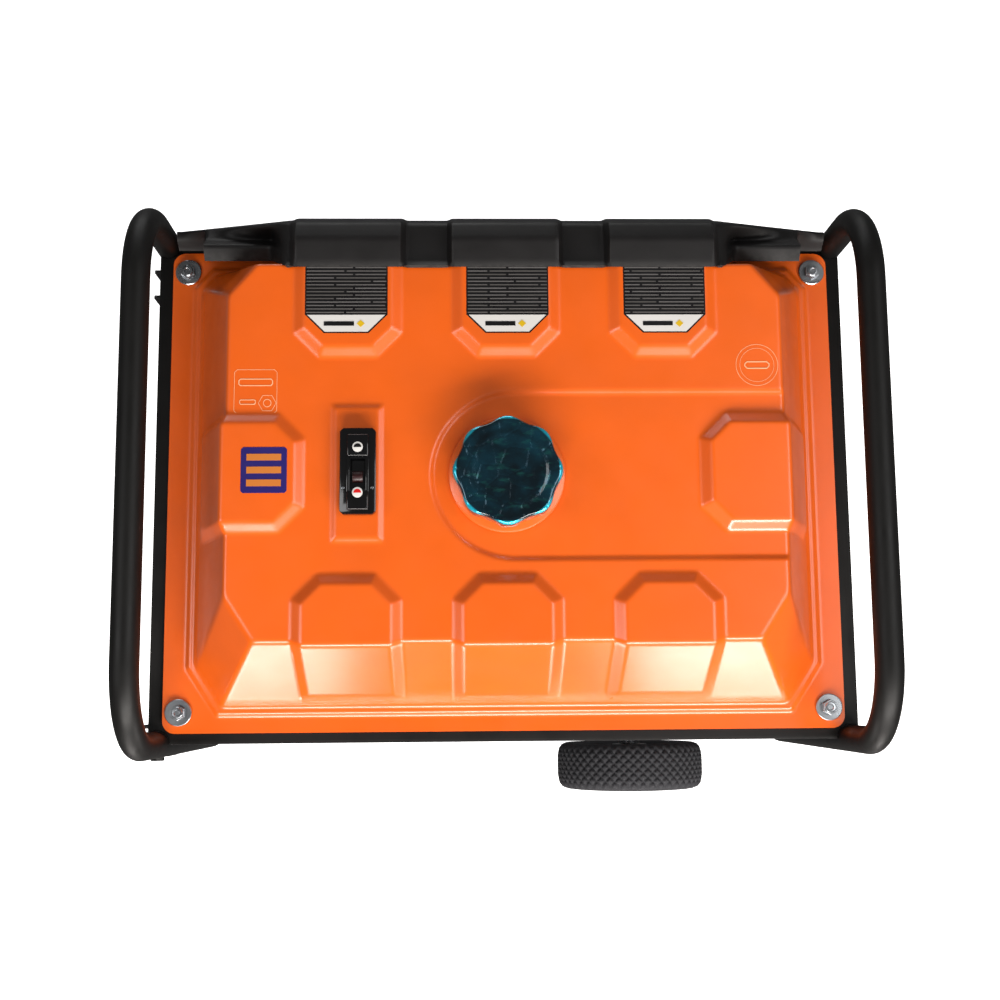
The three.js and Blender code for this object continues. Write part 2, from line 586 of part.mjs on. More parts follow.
function addTank() {
  const overlap = 1;
  const seam = TANK_FLANGE_TOP - FLANGE_SHEET;
  const flange = plate(2 * TANK_FLANGE_X, 2 * TANK_FLANGE_Y, FLANGE_SHEET, FLANGE_CORNER_R)
    .translate(0, 0, seam);
  const dome = loft([atHeight(footOutline(0), TANK_FLANGE_TOP - overlap), atHeight(topOutline(0), TANK_TOP)]);
  const inside = loft([atHeight(footOutline(TANK_WALL + 6), seam - 1),
    atHeight(topOutline(TANK_WALL), TANK_TOP - TANK_ROOF)]);
  const channelFloor = TANK_TOP - CHANNEL_DEPTH;
  const channel = new THREE.Shape();
  channel.absarc(0, 0, CHANNEL_R, -Math.PI / 2, Math.PI / 2);
  channel.lineTo(-TANK_TOP_X - 20, CHANNEL_R);
  channel.lineTo(-TANK_TOP_X - 20, -CHANNEL_R);
  const recess = new THREE.ExtrudeGeometry(channel, { depth: 40, bevelEnabled: false, curveSegments: 8 })
    .translate(-8, FILLER_Y, channelFloor);
  const neckHole = drill(NECK_R + GAP, 60, Z_AXIS, [0, FILLER_Y, TANK_TOP]);
  const gaugeHole = block([20, 34, 60], [GAUGE_X, GAUGE_Y, TANK_TOP]);
  const [plinthWidth, plinthLength] = [GAUGE_WIDTH + 2 * PLINTH_SIDE, GAUGE_LENGTH + 2 * PLINTH_END];
  const plinth = casting(plinthWidth, plinthLength, 2 * PLINTH_RISE, 5, 1.5)
    .translate(GAUGE_X, GAUGE_Y, TANK_TOP - PLINTH_RISE);
  const roof = combine(dome, { cut: [recess] });
  const upper = combine(roof, { add: [flange, plinth, ...tankPads()] });
  const shell = combine(upper, { cut: [inside, neckHole, gaugeHole, ...tankHoles()] });
  part('tank_upper_shell', shell, orangePaint);

  const panFlange = plate(2 * TANK_FLANGE_X, 2 * TANK_FLANGE_Y, FLANGE_SHEET, FLANGE_CORNER_R)
    .translate(0, 0, FLANGE_BOTTOM);
  const pan = casting(2 * PAN_X, 2 * PAN_Y, TANK_PAN_DEPTH + 8, 40, 5).translate(0, 0, PAN_BOTTOM);
  const panInside = casting(2 * (PAN_X - TANK_WALL), 2 * (PAN_Y - TANK_WALL), TANK_PAN_DEPTH + 30, 38, 5)
    .translate(0, 0, PAN_BOTTOM + TANK_WALL);
  const trim = block([900, 900, 40], [0, 0, FLANGE_BOTTOM + FLANGE_SHEET + 20]);
  part('tank_lower_pan', combine(panFlange, { add: [pan], cut: [panInside, trim, ...tankHoles()] }),
    orangePaint);
}

/** Filler neck and collar, strainer basket, gasket and lobed cap, all on the filler's axis. */
function addFiller() {
  const filler = new THREE.Group();
  const collarBase = TANK_TOP - CHANNEL_DEPTH + GAP;
  filler.position.set(0, FILLER_Y, collarBase);
  generator.add(filler);
  const collarR = 52;
  const neckTop = 11;
  const neckDrop = 22;
  const inner = NECK_R - 2;
  part('filler_neck', revolve([[NECK_R, -neckDrop], [NECK_R, 0], [collarR, 0], [collarR - 2, 4],
    [NECK_R + 4, 5], [NECK_R + 2, neckTop], [inner, neckTop], [inner, -neckDrop], [NECK_R, -neckDrop]],
  Z_AXIS, [0, 0, 0], 24), orangePaint, [0, 0, 0], filler);
  const basketR = inner - 1.5;
  const basketDepth = 62;
  part('fuel_strainer', revolve([[0, -basketDepth], [basketR - 3, -basketDepth], [basketR, neckTop - 3],
    [basketR - 1.6, neckTop - 3], [basketR - 4.6, -basketDepth + 2], [0, -basketDepth + 2]],
  Z_AXIS, [0, 0, 0], 20), greyPlastic, [0, 0, 0], filler);
  const gasketBase = neckTop + GAP;
  part('cap_gasket', revolve([[inner - 9, gasketBase], [NECK_R + 3, gasketBase],
    [NECK_R + 3, gasketBase + 3], [inner - 9, gasketBase + 3], [inner - 9, gasketBase]],
  Z_AXIS, [0, 0, 0], 20), rubber, [0, 0, 0], filler);
  const skirtBase = 6;
  const skirtDepth = gasketBase + 3 + GAP;
  const lobed = new THREE.Shape();
  const steps = CAP_LOBES * 4;
  for (let i = 0; i < steps; i += 1) {
    const angle = (i / steps) * Math.PI * 2;
    const radius = CAP_R + CAP_LOBE * Math.cos(CAP_LOBES * angle);
    const draw = i === 0 ? 'moveTo' : 'lineTo';
    lobed[draw](radius * Math.cos(angle), radius * Math.sin(angle));
  }
  lobed.closePath();
  const rim = 3;
  const crown = new THREE.ExtrudeGeometry(lobed, { depth: CAP_HEIGHT - 2 * rim, bevelThickness: rim,
    bevelSize: rim, bevelOffset: -rim, bevelSegments: 1 }).translate(0, 0, skirtBase + rim);
  const hollow = drill(NECK_R + 5, skirtDepth, Z_AXIS, [0, 0, skirtDepth / 2]);
  part('fuel_cap', combine(crown, { cut: [hollow] }), chrome, [0, 0, 0], filler);
}

/** Fuel gauge: housing with a window, the pointer drum under it, and the float that moves it. */
function addGauge() {
  const gauge = new THREE.Group();
  gauge.position.set(GAUGE_X, GAUGE_Y, TANK_TOP + PLINTH_RISE + GAP);
  generator.add(gauge);
  const housing = casting(GAUGE_WIDTH, GAUGE_LENGTH, GAUGE_HEIGHT, 5, 1.5);
  const stemLow = -FLOAT_PIVOT_DROP - 6;
  const stem = span([-4, -8, stemLow], [4, -2, 3]);
  const windowCut = block([...GAUGE_WINDOW, 3 * GAUGE_HEIGHT], [0, 2, 0]);
  const cavity = combine(housing, { cut: [windowCut], add: [span([-8, -15, 0], [8, -9, 3])] });
  part('gauge_housing', combine(cavity, { add: [stem, span([-8, -15, 0], [8, -2, 3])] }), glossPlastic,
    [0, 0, 0], gauge);
  const drum = rod(5.2, 9, X_AXIS, [0, 5, 5.8], 12);
  part('gauge_pointer', drum, redPlastic, [0, 0, 0], gauge);
  const float = new THREE.Group();
  float.position.set(0, 0, -FLOAT_PIVOT_DROP);
  gauge.add(float);
  const armAngle = -Math.PI / 4;
  const armDirection = new THREE.Vector3(0, Math.cos(armAngle), Math.sin(armAngle));
  const armCentre = armDirection.clone().multiplyScalar(FLOAT_ARM / 2);
  const arm = rod(1.6, FLOAT_ARM, armDirection, armCentre.toArray(), 8);
  const ballCentre = armDirection.clone().multiplyScalar(FLOAT_ARM);
  const ball = rod(12, 34, X_AXIS, ballCentre.toArray(), 12);
  const boss = rod(3.2, 8, X_AXIS, [0, 1.6, 0], 10);
  part('fuel_float', combine(arm, { add: [ball, boss] }), greyPlastic, [0, 0, 0], float);
}

function addTankBolts() {
  const head = 5.5;
  const shank = 24;
  const washer = 2;
  const names = ['rear_right', 'rear_left', 'front_left', 'front_right'];
  cornersOf(TANK_BOLT_X, TANK_BOLT_Y).forEach(([x, y], i) => {
    const bolt = combine(rod(WASHER_R, washer, Z_AXIS, [0, 0, washer / 2], 16), { add: [
      rod(7.5, head, Z_AXIS, [0, 0, washer + head / 2 - 0.01], 6),
      rod(BOLT_R, shank, Z_AXIS, [0, 0, -shank / 2 + 0.01], 8)] });
    part(`tank_bolt_${names[i]}`, bolt, zinc, [x, y, TANK_FLANGE_TOP + GAP]);
  });
}

// ---------------------------------------------------------------- fuel tap and hose
function addFuelTap() {
  const tap = new THREE.Group();
  tap.position.set(TAP_X, TAP_Y, PAN_BOTTOM - GAP);
  generator.add(tap);
  const body = revolve([[0, -TAP_DROP], [HOSE_R, -TAP_DROP], [HOSE_R, -TAP_DROP + 12], [10, -TAP_DROP + 14],
    [10, -12], [6, -10], [6, -4], [12, -4], [12, 0], [0, 0]], Z_AXIS, [0, 0, 0], 16);
  const boss = rod(8, 14, Y_AXIS, [0, -11, -TAP_DROP / 2], 12);
  part('fuel_tap', combine(body, { add: [boss] }), castAlloy, [0, 0, 0], tap);
  const lever = combine(rod(8, 5, Y_AXIS, [0, 0, 0], 12), { add: [block([34, 5, 8], [15, 0, 0])] });
  part('fuel_tap_lever', lever, redPlastic, [0, -18 - GAP - 2.5, -TAP_DROP / 2], tap);
}

function addFuelHose() {
  const top = PAN_BOTTOM - GAP - TAP_DROP - GAP;
  const run = CRANK_Z + 94;
  const end = CARBURETTOR.y - CARBURETTOR.depth / 2 - GAP;
  const route = new THREE.CatmullRomCurve3([[TAP_Y, top], [TAP_Y, top - 3], [TAP_Y + 8, run + 2],
    [TAP_Y + 24, run], [CRANK_Y - 40, run], [CRANK_Y + 40, run], [end - 26, run - 3], [end - 8, run - 8],
    [end, run - 8]].map(([y, z]) => new THREE.Vector3(TAP_X, y, z)));
  const ring = new THREE.Shape();
  const sides = 8;
  for (let i = 0; i < sides; i += 1) {
    const angle = (i / sides) * Math.PI * 2;
    ring[i === 0 ? 'moveTo' : 'lineTo'](HOSE_R * Math.cos(angle), HOSE_R * Math.sin(angle));
  }
  ring.closePath();
  part('fuel_hose', new THREE.ExtrudeGeometry(ring, { steps: 18, extrudePath: route }), rubber);
}

// ---------------------------------------------------------------- engine
/** Puts a piece made along +Z from the crank axis onto the tilted cylinder. */
function alongCylinder(geometry) {
  const tilt = THREE.MathUtils.degToRad(CYLINDER_TILT - 90);
  return geometry.rotateX(tilt).translate(ENGINE_X, CRANK_Y, CRANK_Z);
}

function addEngineBlock() {
  const caseHeight = 88 + CRANK_Z - ENGINE_BASE;
  const caseGeometry = casting(BLOCK_LENGTH, 150, caseHeight, 24, 10)
    .translate(ENGINE_X, CRANK_Y, ENGINE_BASE);
  const base = plate(BLOCK_LENGTH, 2 * MOUNT_SPREAD + 50, 12, 12)
    .translate(ENGINE_X, CRANK_Y, ENGINE_BASE);
  const barrel = alongCylinder(rod(44, HEAD_START - 40, Z_AXIS, [0, 0, (HEAD_START + 40) / 2], 20));
  const fins = [];
  const finPitch = 16;
  for (let height = 88; height < HEAD_START - 4; height += finPitch) {
    fins.push(alongCylinder(plate(2 * CYLINDER_HALF, 118, 5, 14, 1).translate(0, 0, height)));
  }
  const bore = drill(SHAFT_R + 3, 2 * BLOCK_LENGTH, X_AXIS, [ENGINE_X, CRANK_Y, CRANK_Z], 20);
  part('engine_block', combine(caseGeometry, { add: [base, barrel, ...fins], cut: [bore] }), castAlloy);

  const headHeight = HEAD_END - HEAD_START - GAP;
  const slots = [9, 22].map((height) => {
    const outer = plate(2 * CYLINDER_HALF + 10, 130, 5, 4, 1);
    const core = plate(2 * CYLINDER_HALF - 24, 88, 8, 10, 1).translate(0, 0, -2);
    return combine(outer, { cut: [core] }).translate(0, 0, height);
  });
  const head = combine(plate(2 * CYLINDER_HALF, 118, headHeight, 14, 1), { cut: slots })
    .translate(0, 0, HEAD_START + GAP);
  part('cylinder_head', alongCylinder(head), castAlloy);
  const cover = casting(92, 84, COVER_END - HEAD_END - GAP, 18, 6).translate(0, 0, HEAD_END + GAP);
  part('rocker_cover', alongCylinder(cover), blackPaint);
}

/** Recoil starter housing over the flywheel, with its pull grip at the front. */
function addRecoilStarter() {
  const mouth = BLOCK_START - GAP;
  const back = mouth - SHROUD_DEPTH;
  const shell = revolve([[SHROUD_R, mouth], [SHROUD_R, back + 16], [SHROUD_R - 14, back + 3],
    [SHROUD_R - 30, back], [0, back], [0, back + SHELL], [SHROUD_R - 31, back + SHELL],
    [SHROUD_R - 17, back + 7], [SHROUD_R - SHELL, back + 17], [SHROUD_R - SHELL, mouth], [SHROUD_R, mouth]],
  X_AXIS, [0, CRANK_Y, CRANK_Z], 24);
  const guide = rod(11, 22, Y_AXIS, [mouth - 30, CRANK_Y - SHROUD_R - 4, CRANK_Z], 12);
  part('recoil_housing', combine(shell, { add: [guide] }), orangePaint);
  const gripY = CRANK_Y - SHROUD_R - 15 - GAP;
  const stem = rod(6, 16, Y_AXIS, [0, -8, 0], 10);
  const bar = casting(92, 30, 22, 9, 4).rotateX(Math.PI / 2).translate(0, -12, 0);
  part('recoil_grip', combine(stem, { add: [bar] }), blackPlastic,
    [mouth - 30, gripY, CRANK_Z]);

  const hub = [[SHAFT_R + GAP, -54], [34, -54], [34, -46], [FLYWHEEL_R, -40], [FLYWHEEL_R, -12],
    [FLYWHEEL_R - 12, -10], [SHAFT_R + GAP, -10], [SHAFT_R + GAP, -54]];
  const blades = [];
  const bladeCount = 6;
  for (let i = 0; i < bladeCount; i += 1) {
    const blade = block([14, 34, 4], [-46, FLYWHEEL_R - 30, 0]);
    blades.push(blade.rotateX((i / bladeCount) * Math.PI * 2));
  }
  const flywheel = combine(revolve(hub, X_AXIS, [0, 0, 0], 20), { add: blades });
  part('flywheel_fan', flywheel, castAlloy, [mouth, CRANK_Y, CRANK_Z]);
}

/** Alternator: stator housing open to the engine, and the crankshaft with the rotor on one axis. */
function addAlternator() {
  const start = BLOCK_END + GAP;
  const end = start + ALTERNATOR_LENGTH;
  const bore = ROTOR_R + AIR_GAP;
  const bearing = 13;
  const cavityEnd = end - 34;
  const housing = revolve([[STATOR_R - 14, start], [STATOR_R - 14, start + 22], [STATOR_R, start + 26],
    [STATOR_R, end - 40], [STATOR_R - 16, end - 6], [STATOR_R - 30, end], [bearing + RUNNING, end],
    [bearing + RUNNING, cavityEnd], [bore, cavityEnd], [bore, start], [STATOR_R - 14, start]],
  X_AXIS, [0, CRANK_Y, CRANK_Z], 24);
  const footHalf = 24;
  const foot = span([ALTERNATOR_MOUNT_X - footHalf, CRANK_Y - MOUNT_SPREAD - 22, ENGINE_BASE],
    [ALTERNATOR_MOUNT_X + footHalf, CRANK_Y + MOUNT_SPREAD + 22, ENGINE_BASE + 10]);
  const saddle = span([ALTERNATOR_MOUNT_X - 16, CRANK_Y - 52, ENGINE_BASE],
    [ALTERNATOR_MOUNT_X + 16, CRANK_Y + 52, CRANK_Z - 84]);
  part('alternator_housing', combine(housing, { add: [foot, saddle] }), castAlloy);
  const shaftStart = BLOCK_START - GAP - 58;
  part('crankshaft_rotor', revolve([[0, shaftStart], [SHAFT_R, shaftStart], [SHAFT_R, start + 16],
    [ROTOR_R, start + 24], [ROTOR_R, cavityEnd - 12], [bearing, cavityEnd - 8], [bearing, end - 3],
    [0, end - 3]], X_AXIS, [0, CRANK_Y, CRANK_Z], 20), darkSteel);
}

/** Carburettor, air cleaner and choke lever on the recoil side of the head; muffler on the other. */
function addIntakeAndExhaust() {
  const port = ENGINE_X - CYLINDER_HALF - GAP;
  const { y, z, width, depth, height } = CARBURETTOR;
  const body = span([port - width, y - depth / 2, z - height / 2 + 4], [port, y + depth / 2, z + height / 2]);
  const bowl = rod(width / 2 - 1, 26, Z_AXIS, [port - width / 2, y, z - height / 2 - 6], 14);
  part('carburettor', combine(body, { add: [bowl] }), castAlloy);
  const box = AIR_CLEANER;
  const cleaner = casting(box.width, box.depth, box.height, box.corner, box.rim, 2)
    .translate(port - width - GAP - box.width / 2 - 1, y + 38, z - 52);
  part('air_cleaner', cleaner, blackPlastic);
  const lever = combine(rod(6, 3, Y_AXIS, [0, 1.5, 0], 12), { add: [block([7, 3, 24], [0, 1.5, 12])] });
  part('choke_lever', lever, darkSteel, [port - width / 2, y + depth / 2 + GAP, z + 10]);

  const outlet = ENGINE_X + CYLINDER_HALF + GAP;
  const reach = (HEAD_START + HEAD_END) / 2;
  const tilt = THREE.MathUtils.degToRad(CYLINDER_TILT);
  const portY = CRANK_Y + reach * Math.cos(tilt);
  const portZ = CRANK_Z + reach * Math.sin(tilt);
  const drumStart = BLOCK_END + MUFFLER.gap;
  const drum = casting(MUFFLER.width, MUFFLER.height, MUFFLER.length, MUFFLER.corner, MUFFLER.rim, 3)
    .rotateY(Math.PI / 2).rotateX(Math.PI / 2).translate(drumStart, portY + 26, portZ - 12);
  const pipeEnd = drumStart + 12;
  const pipe = rod(16, pipeEnd - outlet, X_AXIS, [(pipeEnd + outlet) / 2, portY, portZ], 14);
  const tail = rod(11, 40, X_AXIS, [drumStart + MUFFLER.length + 8, portY + 38, portZ - 30], 12);
  part('muffler', combine(drum, { add: [pipe, tail] }), muffled);
}

// ---------------------------------------------------------------- control panel
function addControlPanel() {
  const back = PANEL_FRONT + PANEL_SHEET;
  const front = span([-PANEL_HALF, PANEL_FRONT, PANEL_BOTTOM], [PANEL_HALF, back, PANEL_TOP]);
  const lowerReturn = span([-PANEL_HALF, PANEL_FRONT, PANEL_BOTTOM],
    [PANEL_HALF, back + PANEL_RETURN, PANEL_BOTTOM + PANEL_SHEET]);
  const ends = [-1, 1].map((side) => {
    const inner = side * (PANEL_HALF - PANEL_SHEET);
    const outer = side * PANEL_HALF;
    return span([Math.min(inner, outer), PANEL_FRONT, PANEL_BOTTOM],
      [Math.max(inner, outer), back + 12, RAIL_TOP - RAIL_DROP - 6]);
  });
  const legs = [-1, 1].map((side) => drill(TUBE_R + GAP, 400, Z_AXIS, [side * HOOP_X, -LEG_Y, PANEL_TOP]));
  const socketHoles = [0, 1].map((i) => drill(SOCKET_R + GAP, 40, Y_AXIS,
    [SOCKET_X + i * SOCKET_PITCH, back, SOCKET_Z]));
  const switchHoles = SWITCHES.map(([, x]) => block([19, 40, 29], [x, back, SOCKET_Z]));
  part('control_panel', combine(front, { add: [lowerReturn, ...ends],
    cut: [...legs, ...socketHoles, ...switchHoles] }), blackPlastic);
}

/** Round sockets with a square flange and a sprung lid hinged along its top edge. */
function addSockets() {
  const flange = SOCKET_FLANGE;
  const plateDepth = 8;
  const bodyDepth = 36;
  ['left', 'right'].forEach((name, i) => {
    const socket = new THREE.Group();
    socket.position.set(SOCKET_X + i * SOCKET_PITCH, PANEL_FRONT - GAP, SOCKET_Z);
    generator.add(socket);
    const face = plate(flange, flange, plateDepth, 7).rotateX(Math.PI / 2);
    const barrel = rod(SOCKET_R, bodyDepth + 2, Y_AXIS, [0, bodyDepth / 2 - 1, 0], 16);
    const recess = drill(SOCKET_R - 4, 34, Y_AXIS, [0, 34 / 2 - plateDepth - 1, 0], 16);
    part(`socket_${name}`, combine(face, { add: [barrel], cut: [recess] }), greyPlastic, [0, 0, 0], socket);
    const lid = casting(flange - 4, flange - 6, 5, 8, 1.5).rotateX(Math.PI / 2)
      .translate(0, 0, -(flange - 6) / 2 - 3);
    const knuckle = rod(3, flange - 16, X_AXIS, [0, -3, 0], 10);
    const lever = span([-flange / 2 + 8, -5, -5], [flange / 2 - 8, -1, 0]);
    part(`socket_lid_${name}`, combine(lid, { add: [knuckle, lever] }), greyPlastic,
      [0, -plateDepth - GAP, flange / 2 - 4], socket);
  });
}

/** Rocker switches that tip about a cross axis in the panel. */
function addSwitches() {
  for (const [name, x] of SWITCHES) {
    const rocker = new THREE.Shape([[-4, -13], [3, -11.5], [6, 0], [7.5, 11.5], [-4, 13]]
      .map(([y, z]) => new THREE.Vector2(-y, z)));
    const geometry = new THREE.ExtrudeGeometry(rocker, { depth: 16, bevelEnabled: false })
      .rotateX(Math.PI / 2).rotateZ(Math.PI / 2).translate(-8, 0, 0);
    part(name, geometry, name === 'engine_switch' ? redPlastic : glossPlastic, [x, PANEL_FRONT, SOCKET_Z]);
  }
}

/**
 * Moulded hood from the panel's top edge up the tank's front and over its top edge.
 * It bulges over the tank's three front pads and drops to a low flange at each end.
 */
function addHood() {
  const wall = HOOD_WALL;
  const clear = 1;
  const base = PANEL_TOP + GAP;
  const face = PANEL_FRONT;
  const top = TANK_TOP + clear;
  const lip = HOOD_LIP - TANK_TOP_FRONT;
  const bump = [[face + 9.5, TANK_TOP - 12], [-TANK_TOP_FRONT - 17, top + PAD_RISE + 6],
    [lip, top + PAD_RISE + wall + 0.5]];
  const dip = [[face + 11, TANK_TOP - 14], [-TANK_TOP_FRONT - 20, top + 1], [lip, top + wall + 2]];
  const end = [...dip.slice(0, 2), [-TANK_TOP_FRONT, top + wall + 0.5]];
  const low = [[face + 4, TANK_FLANGE_TOP + 30], [face + 9, TANK_FLANGE_TOP + 32],
    [-TANK_FOOT_Y - 12, TANK_FLANGE_TOP + 16]];
  const mid = end.map(([y, z], i) => [(y + low[i][0]) / 2 - 4, (z + low[i][1]) / 2 + 6]);
  const section = (x, outline) => {
    const outer = [[face, base], [face, base + 6], ...outline];
    const inner = outer.map(([y, z], i) => {
      const [py, pz] = outer[Math.max(i - 1, 0)];
      const [ny, nz] = outer[Math.min(i + 1, outer.length - 1)];
      const length = Math.hypot(ny - py, nz - pz);
      return [y + (wall * (nz - pz)) / length, z - (wall * (ny - py)) / length];
    });
    inner[0][1] = base;
    return [...outer, ...inner.reverse()].map(([y, z]) => new THREE.Vector3(x, y, z));
  };
  const stations = [[PANEL_HALF, low], [TANK_TOP_X + 18, low], [TANK_TOP_X - 4, mid],
    [PAD_PITCH + PAD_HALF + PAD_BEVEL + 12, end]];
  for (const place of [1, 0, -1]) {
    const centre = place * PAD_PITCH;
    stations.push([centre + PAD_HALF + PAD_BEVEL + 3, dip], [centre + PAD_HALF + 2, bump],
      [centre - PAD_HALF - 2, bump], [centre - PAD_HALF - PAD_BEVEL - 3, dip]);
  }
  const mirrored = stations.slice(0, 4).map(([x, outline]) => [-x, outline]).reverse();
  const sections = [...stations, ...mirrored].map(([x, outline]) => section(x, outline));
  const legs = [-1, 1].map((side) => drill(TUBE_R + 2, 400, Z_AXIS, [side * HOOP_X, -LEG_Y, PANEL_TOP]));
  part('panel_hood', combine(loft(sections), { cut: legs }), blackPlastic);
}

// ---------------------------------------------------------------- assembly
addHoops();
addTankRails();
addBaseRails();
addCrossMembers();
addFeet();
addWheels();
addHandles();
addTank();
addFiller();
addGauge();
addTankBolts();
addFuelTap();
addFuelHose();
addEngineBlock();
addRecoilStarter();
addAlternator();
addIntakeAndExhaust();
addControlPanel();
addSockets();
addSwitches();
addHood();

generator.position.x = -CENTRE_X;
generator.updateMatrixWorld(true);

export default generator;
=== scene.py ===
"""Studio picture of an open-frame portable generator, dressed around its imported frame.

Lengths are written in millimetres and turned into metres by MM. +Z is up, the control panel
faces -Y, the wheels are at the -X end and the folding handles at +X.
"""
import json
import logging
import math
from contextlib import contextmanager
from dataclasses import dataclass
from enum import Enum
from typing import Iterator, Sequence

import bpy
import numpy as np
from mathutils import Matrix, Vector

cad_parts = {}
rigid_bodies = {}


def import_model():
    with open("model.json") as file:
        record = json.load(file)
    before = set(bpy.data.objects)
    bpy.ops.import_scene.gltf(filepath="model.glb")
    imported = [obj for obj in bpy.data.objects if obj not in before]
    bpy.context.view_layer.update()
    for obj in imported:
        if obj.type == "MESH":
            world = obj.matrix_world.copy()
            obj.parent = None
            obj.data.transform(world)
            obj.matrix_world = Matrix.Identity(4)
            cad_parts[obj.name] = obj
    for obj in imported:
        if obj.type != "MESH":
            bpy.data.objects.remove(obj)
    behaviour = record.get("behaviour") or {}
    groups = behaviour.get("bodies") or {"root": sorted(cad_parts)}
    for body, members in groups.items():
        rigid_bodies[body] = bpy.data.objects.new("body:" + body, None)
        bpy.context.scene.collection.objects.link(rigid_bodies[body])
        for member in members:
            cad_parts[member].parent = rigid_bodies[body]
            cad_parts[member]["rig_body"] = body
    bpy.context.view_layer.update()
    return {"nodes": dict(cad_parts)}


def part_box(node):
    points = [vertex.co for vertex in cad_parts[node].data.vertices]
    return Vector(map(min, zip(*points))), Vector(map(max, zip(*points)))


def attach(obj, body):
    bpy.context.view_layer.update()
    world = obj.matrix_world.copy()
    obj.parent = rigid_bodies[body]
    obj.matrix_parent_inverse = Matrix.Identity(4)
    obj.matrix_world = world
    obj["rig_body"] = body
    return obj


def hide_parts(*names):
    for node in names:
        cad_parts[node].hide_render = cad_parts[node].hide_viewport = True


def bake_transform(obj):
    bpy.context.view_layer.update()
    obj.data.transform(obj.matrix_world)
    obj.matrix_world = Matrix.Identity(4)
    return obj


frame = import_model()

MM = 0.001
LOG = logging.getLogger("generator")

Point = Sequence[float]
Piece = bpy.types.Object


class Body(str, Enum):
    """The frame's bodies that pieces ride on."""

    FRAME = "frame"
    WHEEL_FRONT = "wheel_front"
    WHEEL_REAR = "wheel_rear"
    CAP = "cap"
    CAP_SEAL = "cap_seal"
    PULL_GRIP = "pull_grip"


class Axis(Enum):
    """The three directions that turned pieces are turned about."""

    X = (1.0, 0.0, 0.0)
    Y = (0.0, 1.0, 0.0)
    Z = (0.0, 0.0, 1.0)


# ---------------------------------------------------------------- finishes
def linear(hex_colour: str) -> tuple[float, float, float, float]:
    """Turns a hex colour into linear light.

    Args:
        hex_colour: six hex digits, red first.

    Returns:
        Red, green, blue and an alpha of one.
    """
    shares = [int(hex_colour[i:i + 2], 16) / 255 for i in (0, 2, 4)]
    red, green, blue = [((s + 0.055) / 1.055) ** 2.4 if s > 0.04045 else s / 12.92 for s in shares]
    return red, green, blue, 1.0


class Graph:
    """A material's node tree, with short ways to add and join nodes."""

    def __init__(self, name: str) -> None:
        """Starts a material that holds only its shader and its coordinates.

        Args:
            name: the material's name.
        """
        self.material = bpy.data.materials.new(name)
        self.material.use_nodes = True
        self.tree = self.material.node_tree
        self.shader = self.tree.nodes["Principled BSDF"]
        self.place = self.add("ShaderNodeTexCoord").outputs["Object"]

    def add(self, kind: str, **settings: object) -> bpy.types.Node:
        """Adds a node and sets its properties."""
        node = self.tree.nodes.new(kind)
        for key, value in settings.items():
            setattr(node, key, value)
        return node

    def join(self, source: bpy.types.NodeSocket, target: bpy.types.NodeSocket) -> None:
        """Links one socket to another."""
        self.tree.links.new(source, target)

    def noise(self, scale: float, detail: float = 3.0, place: bpy.types.NodeSocket | None = None,
              stretch: Point = (1, 1, 1)) -> bpy.types.NodeSocket:
        """Adds cloudy noise.

        Args:
            scale: cells in a metre.
            detail: octaves.
            place: the coordinates it reads, the piece's own if none are given.
            stretch: how much finer the pattern is along each axis.

        Returns:
            The noise's value, about a half on average.
        """
        mapping = self.add("ShaderNodeMapping")
        mapping.inputs["Scale"].default_value = stretch
        self.join(place or self.place, mapping.inputs["Vector"])
        node = self.add("ShaderNodeTexNoise")
        node.inputs["Scale"].default_value = scale
        node.inputs["Detail"].default_value = detail
        self.join(mapping.outputs["Vector"], node.inputs["Vector"])
        return node.outputs["Fac"]

    def spread(self, value: bpy.types.NodeSocket, low: float, high: float,
               start: float = 0.3, end: float = 0.7) -> bpy.types.NodeSocket:
        """Maps a value from start..end onto low..high, and holds it there."""
        node = self.add("ShaderNodeMapRange")
        for name, number in (("From Min", start), ("From Max", end), ("To Min", low), ("To Max", high)):
            node.inputs[name].default_value = number
        self.join(value, node.inputs["Value"])
        return node.outputs["Result"]

    def maths(self, operation: str, first: object, second: object = 0.0) -> bpy.types.NodeSocket:
        """Adds one sum.

        Args:
            operation: the Math node's operation.
            first: a socket or a number.
            second: a socket or a number.

        Returns:
            The result.
        """
        node = self.add("ShaderNodeMath", operation=operation)
        for socket, value in zip(node.inputs, (first, second)):
            if isinstance(value, bpy.types.NodeSocket):
                self.join(value, socket)
            else:
                socket.default_value = value
        return node.outputs["Value"]

    def mix(self, share: bpy.types.NodeSocket, first: object, second: object) -> bpy.types.NodeSocket:
        """Blends two colours, each given as a socket or a linear colour."""
        node = self.add("ShaderNodeMix", data_type="RGBA")
        self.join(share, node.inputs["Factor"])
        for socket, value in ((node.inputs[6], first), (node.inputs[7], second)):
            if isinstance(value, bpy.types.NodeSocket):
                self.join(value, socket)
            else:
                socket.default_value = value
        return node.outputs[2]

    def bump(self, height: bpy.types.NodeSocket, depth: float,
             under: bpy.types.NodeSocket | None = None) -> bpy.types.NodeSocket:
        """Turns a height into a normal.

        Args:
            height: the height, 0 to 1.
            depth: how deep that is, in millimetres.
            under: a normal that this one lies on.

        Returns:
            The normal.
        """
        node = self.add("ShaderNodeBump")
        node.inputs["Distance"].default_value = depth * MM
        self.join(height, node.inputs["Height"])
        if under is not None:
            self.join(under, node.inputs["Normal"])
        return node.outputs["Normal"]

    def axes(self) -> Sequence[bpy.types.NodeSocket]:
        """Splits the piece's coordinates into X, Y and Z."""
        node = self.add("ShaderNodeSeparateXYZ")
        self.join(self.place, node.inputs["Vector"])
        return node.outputs


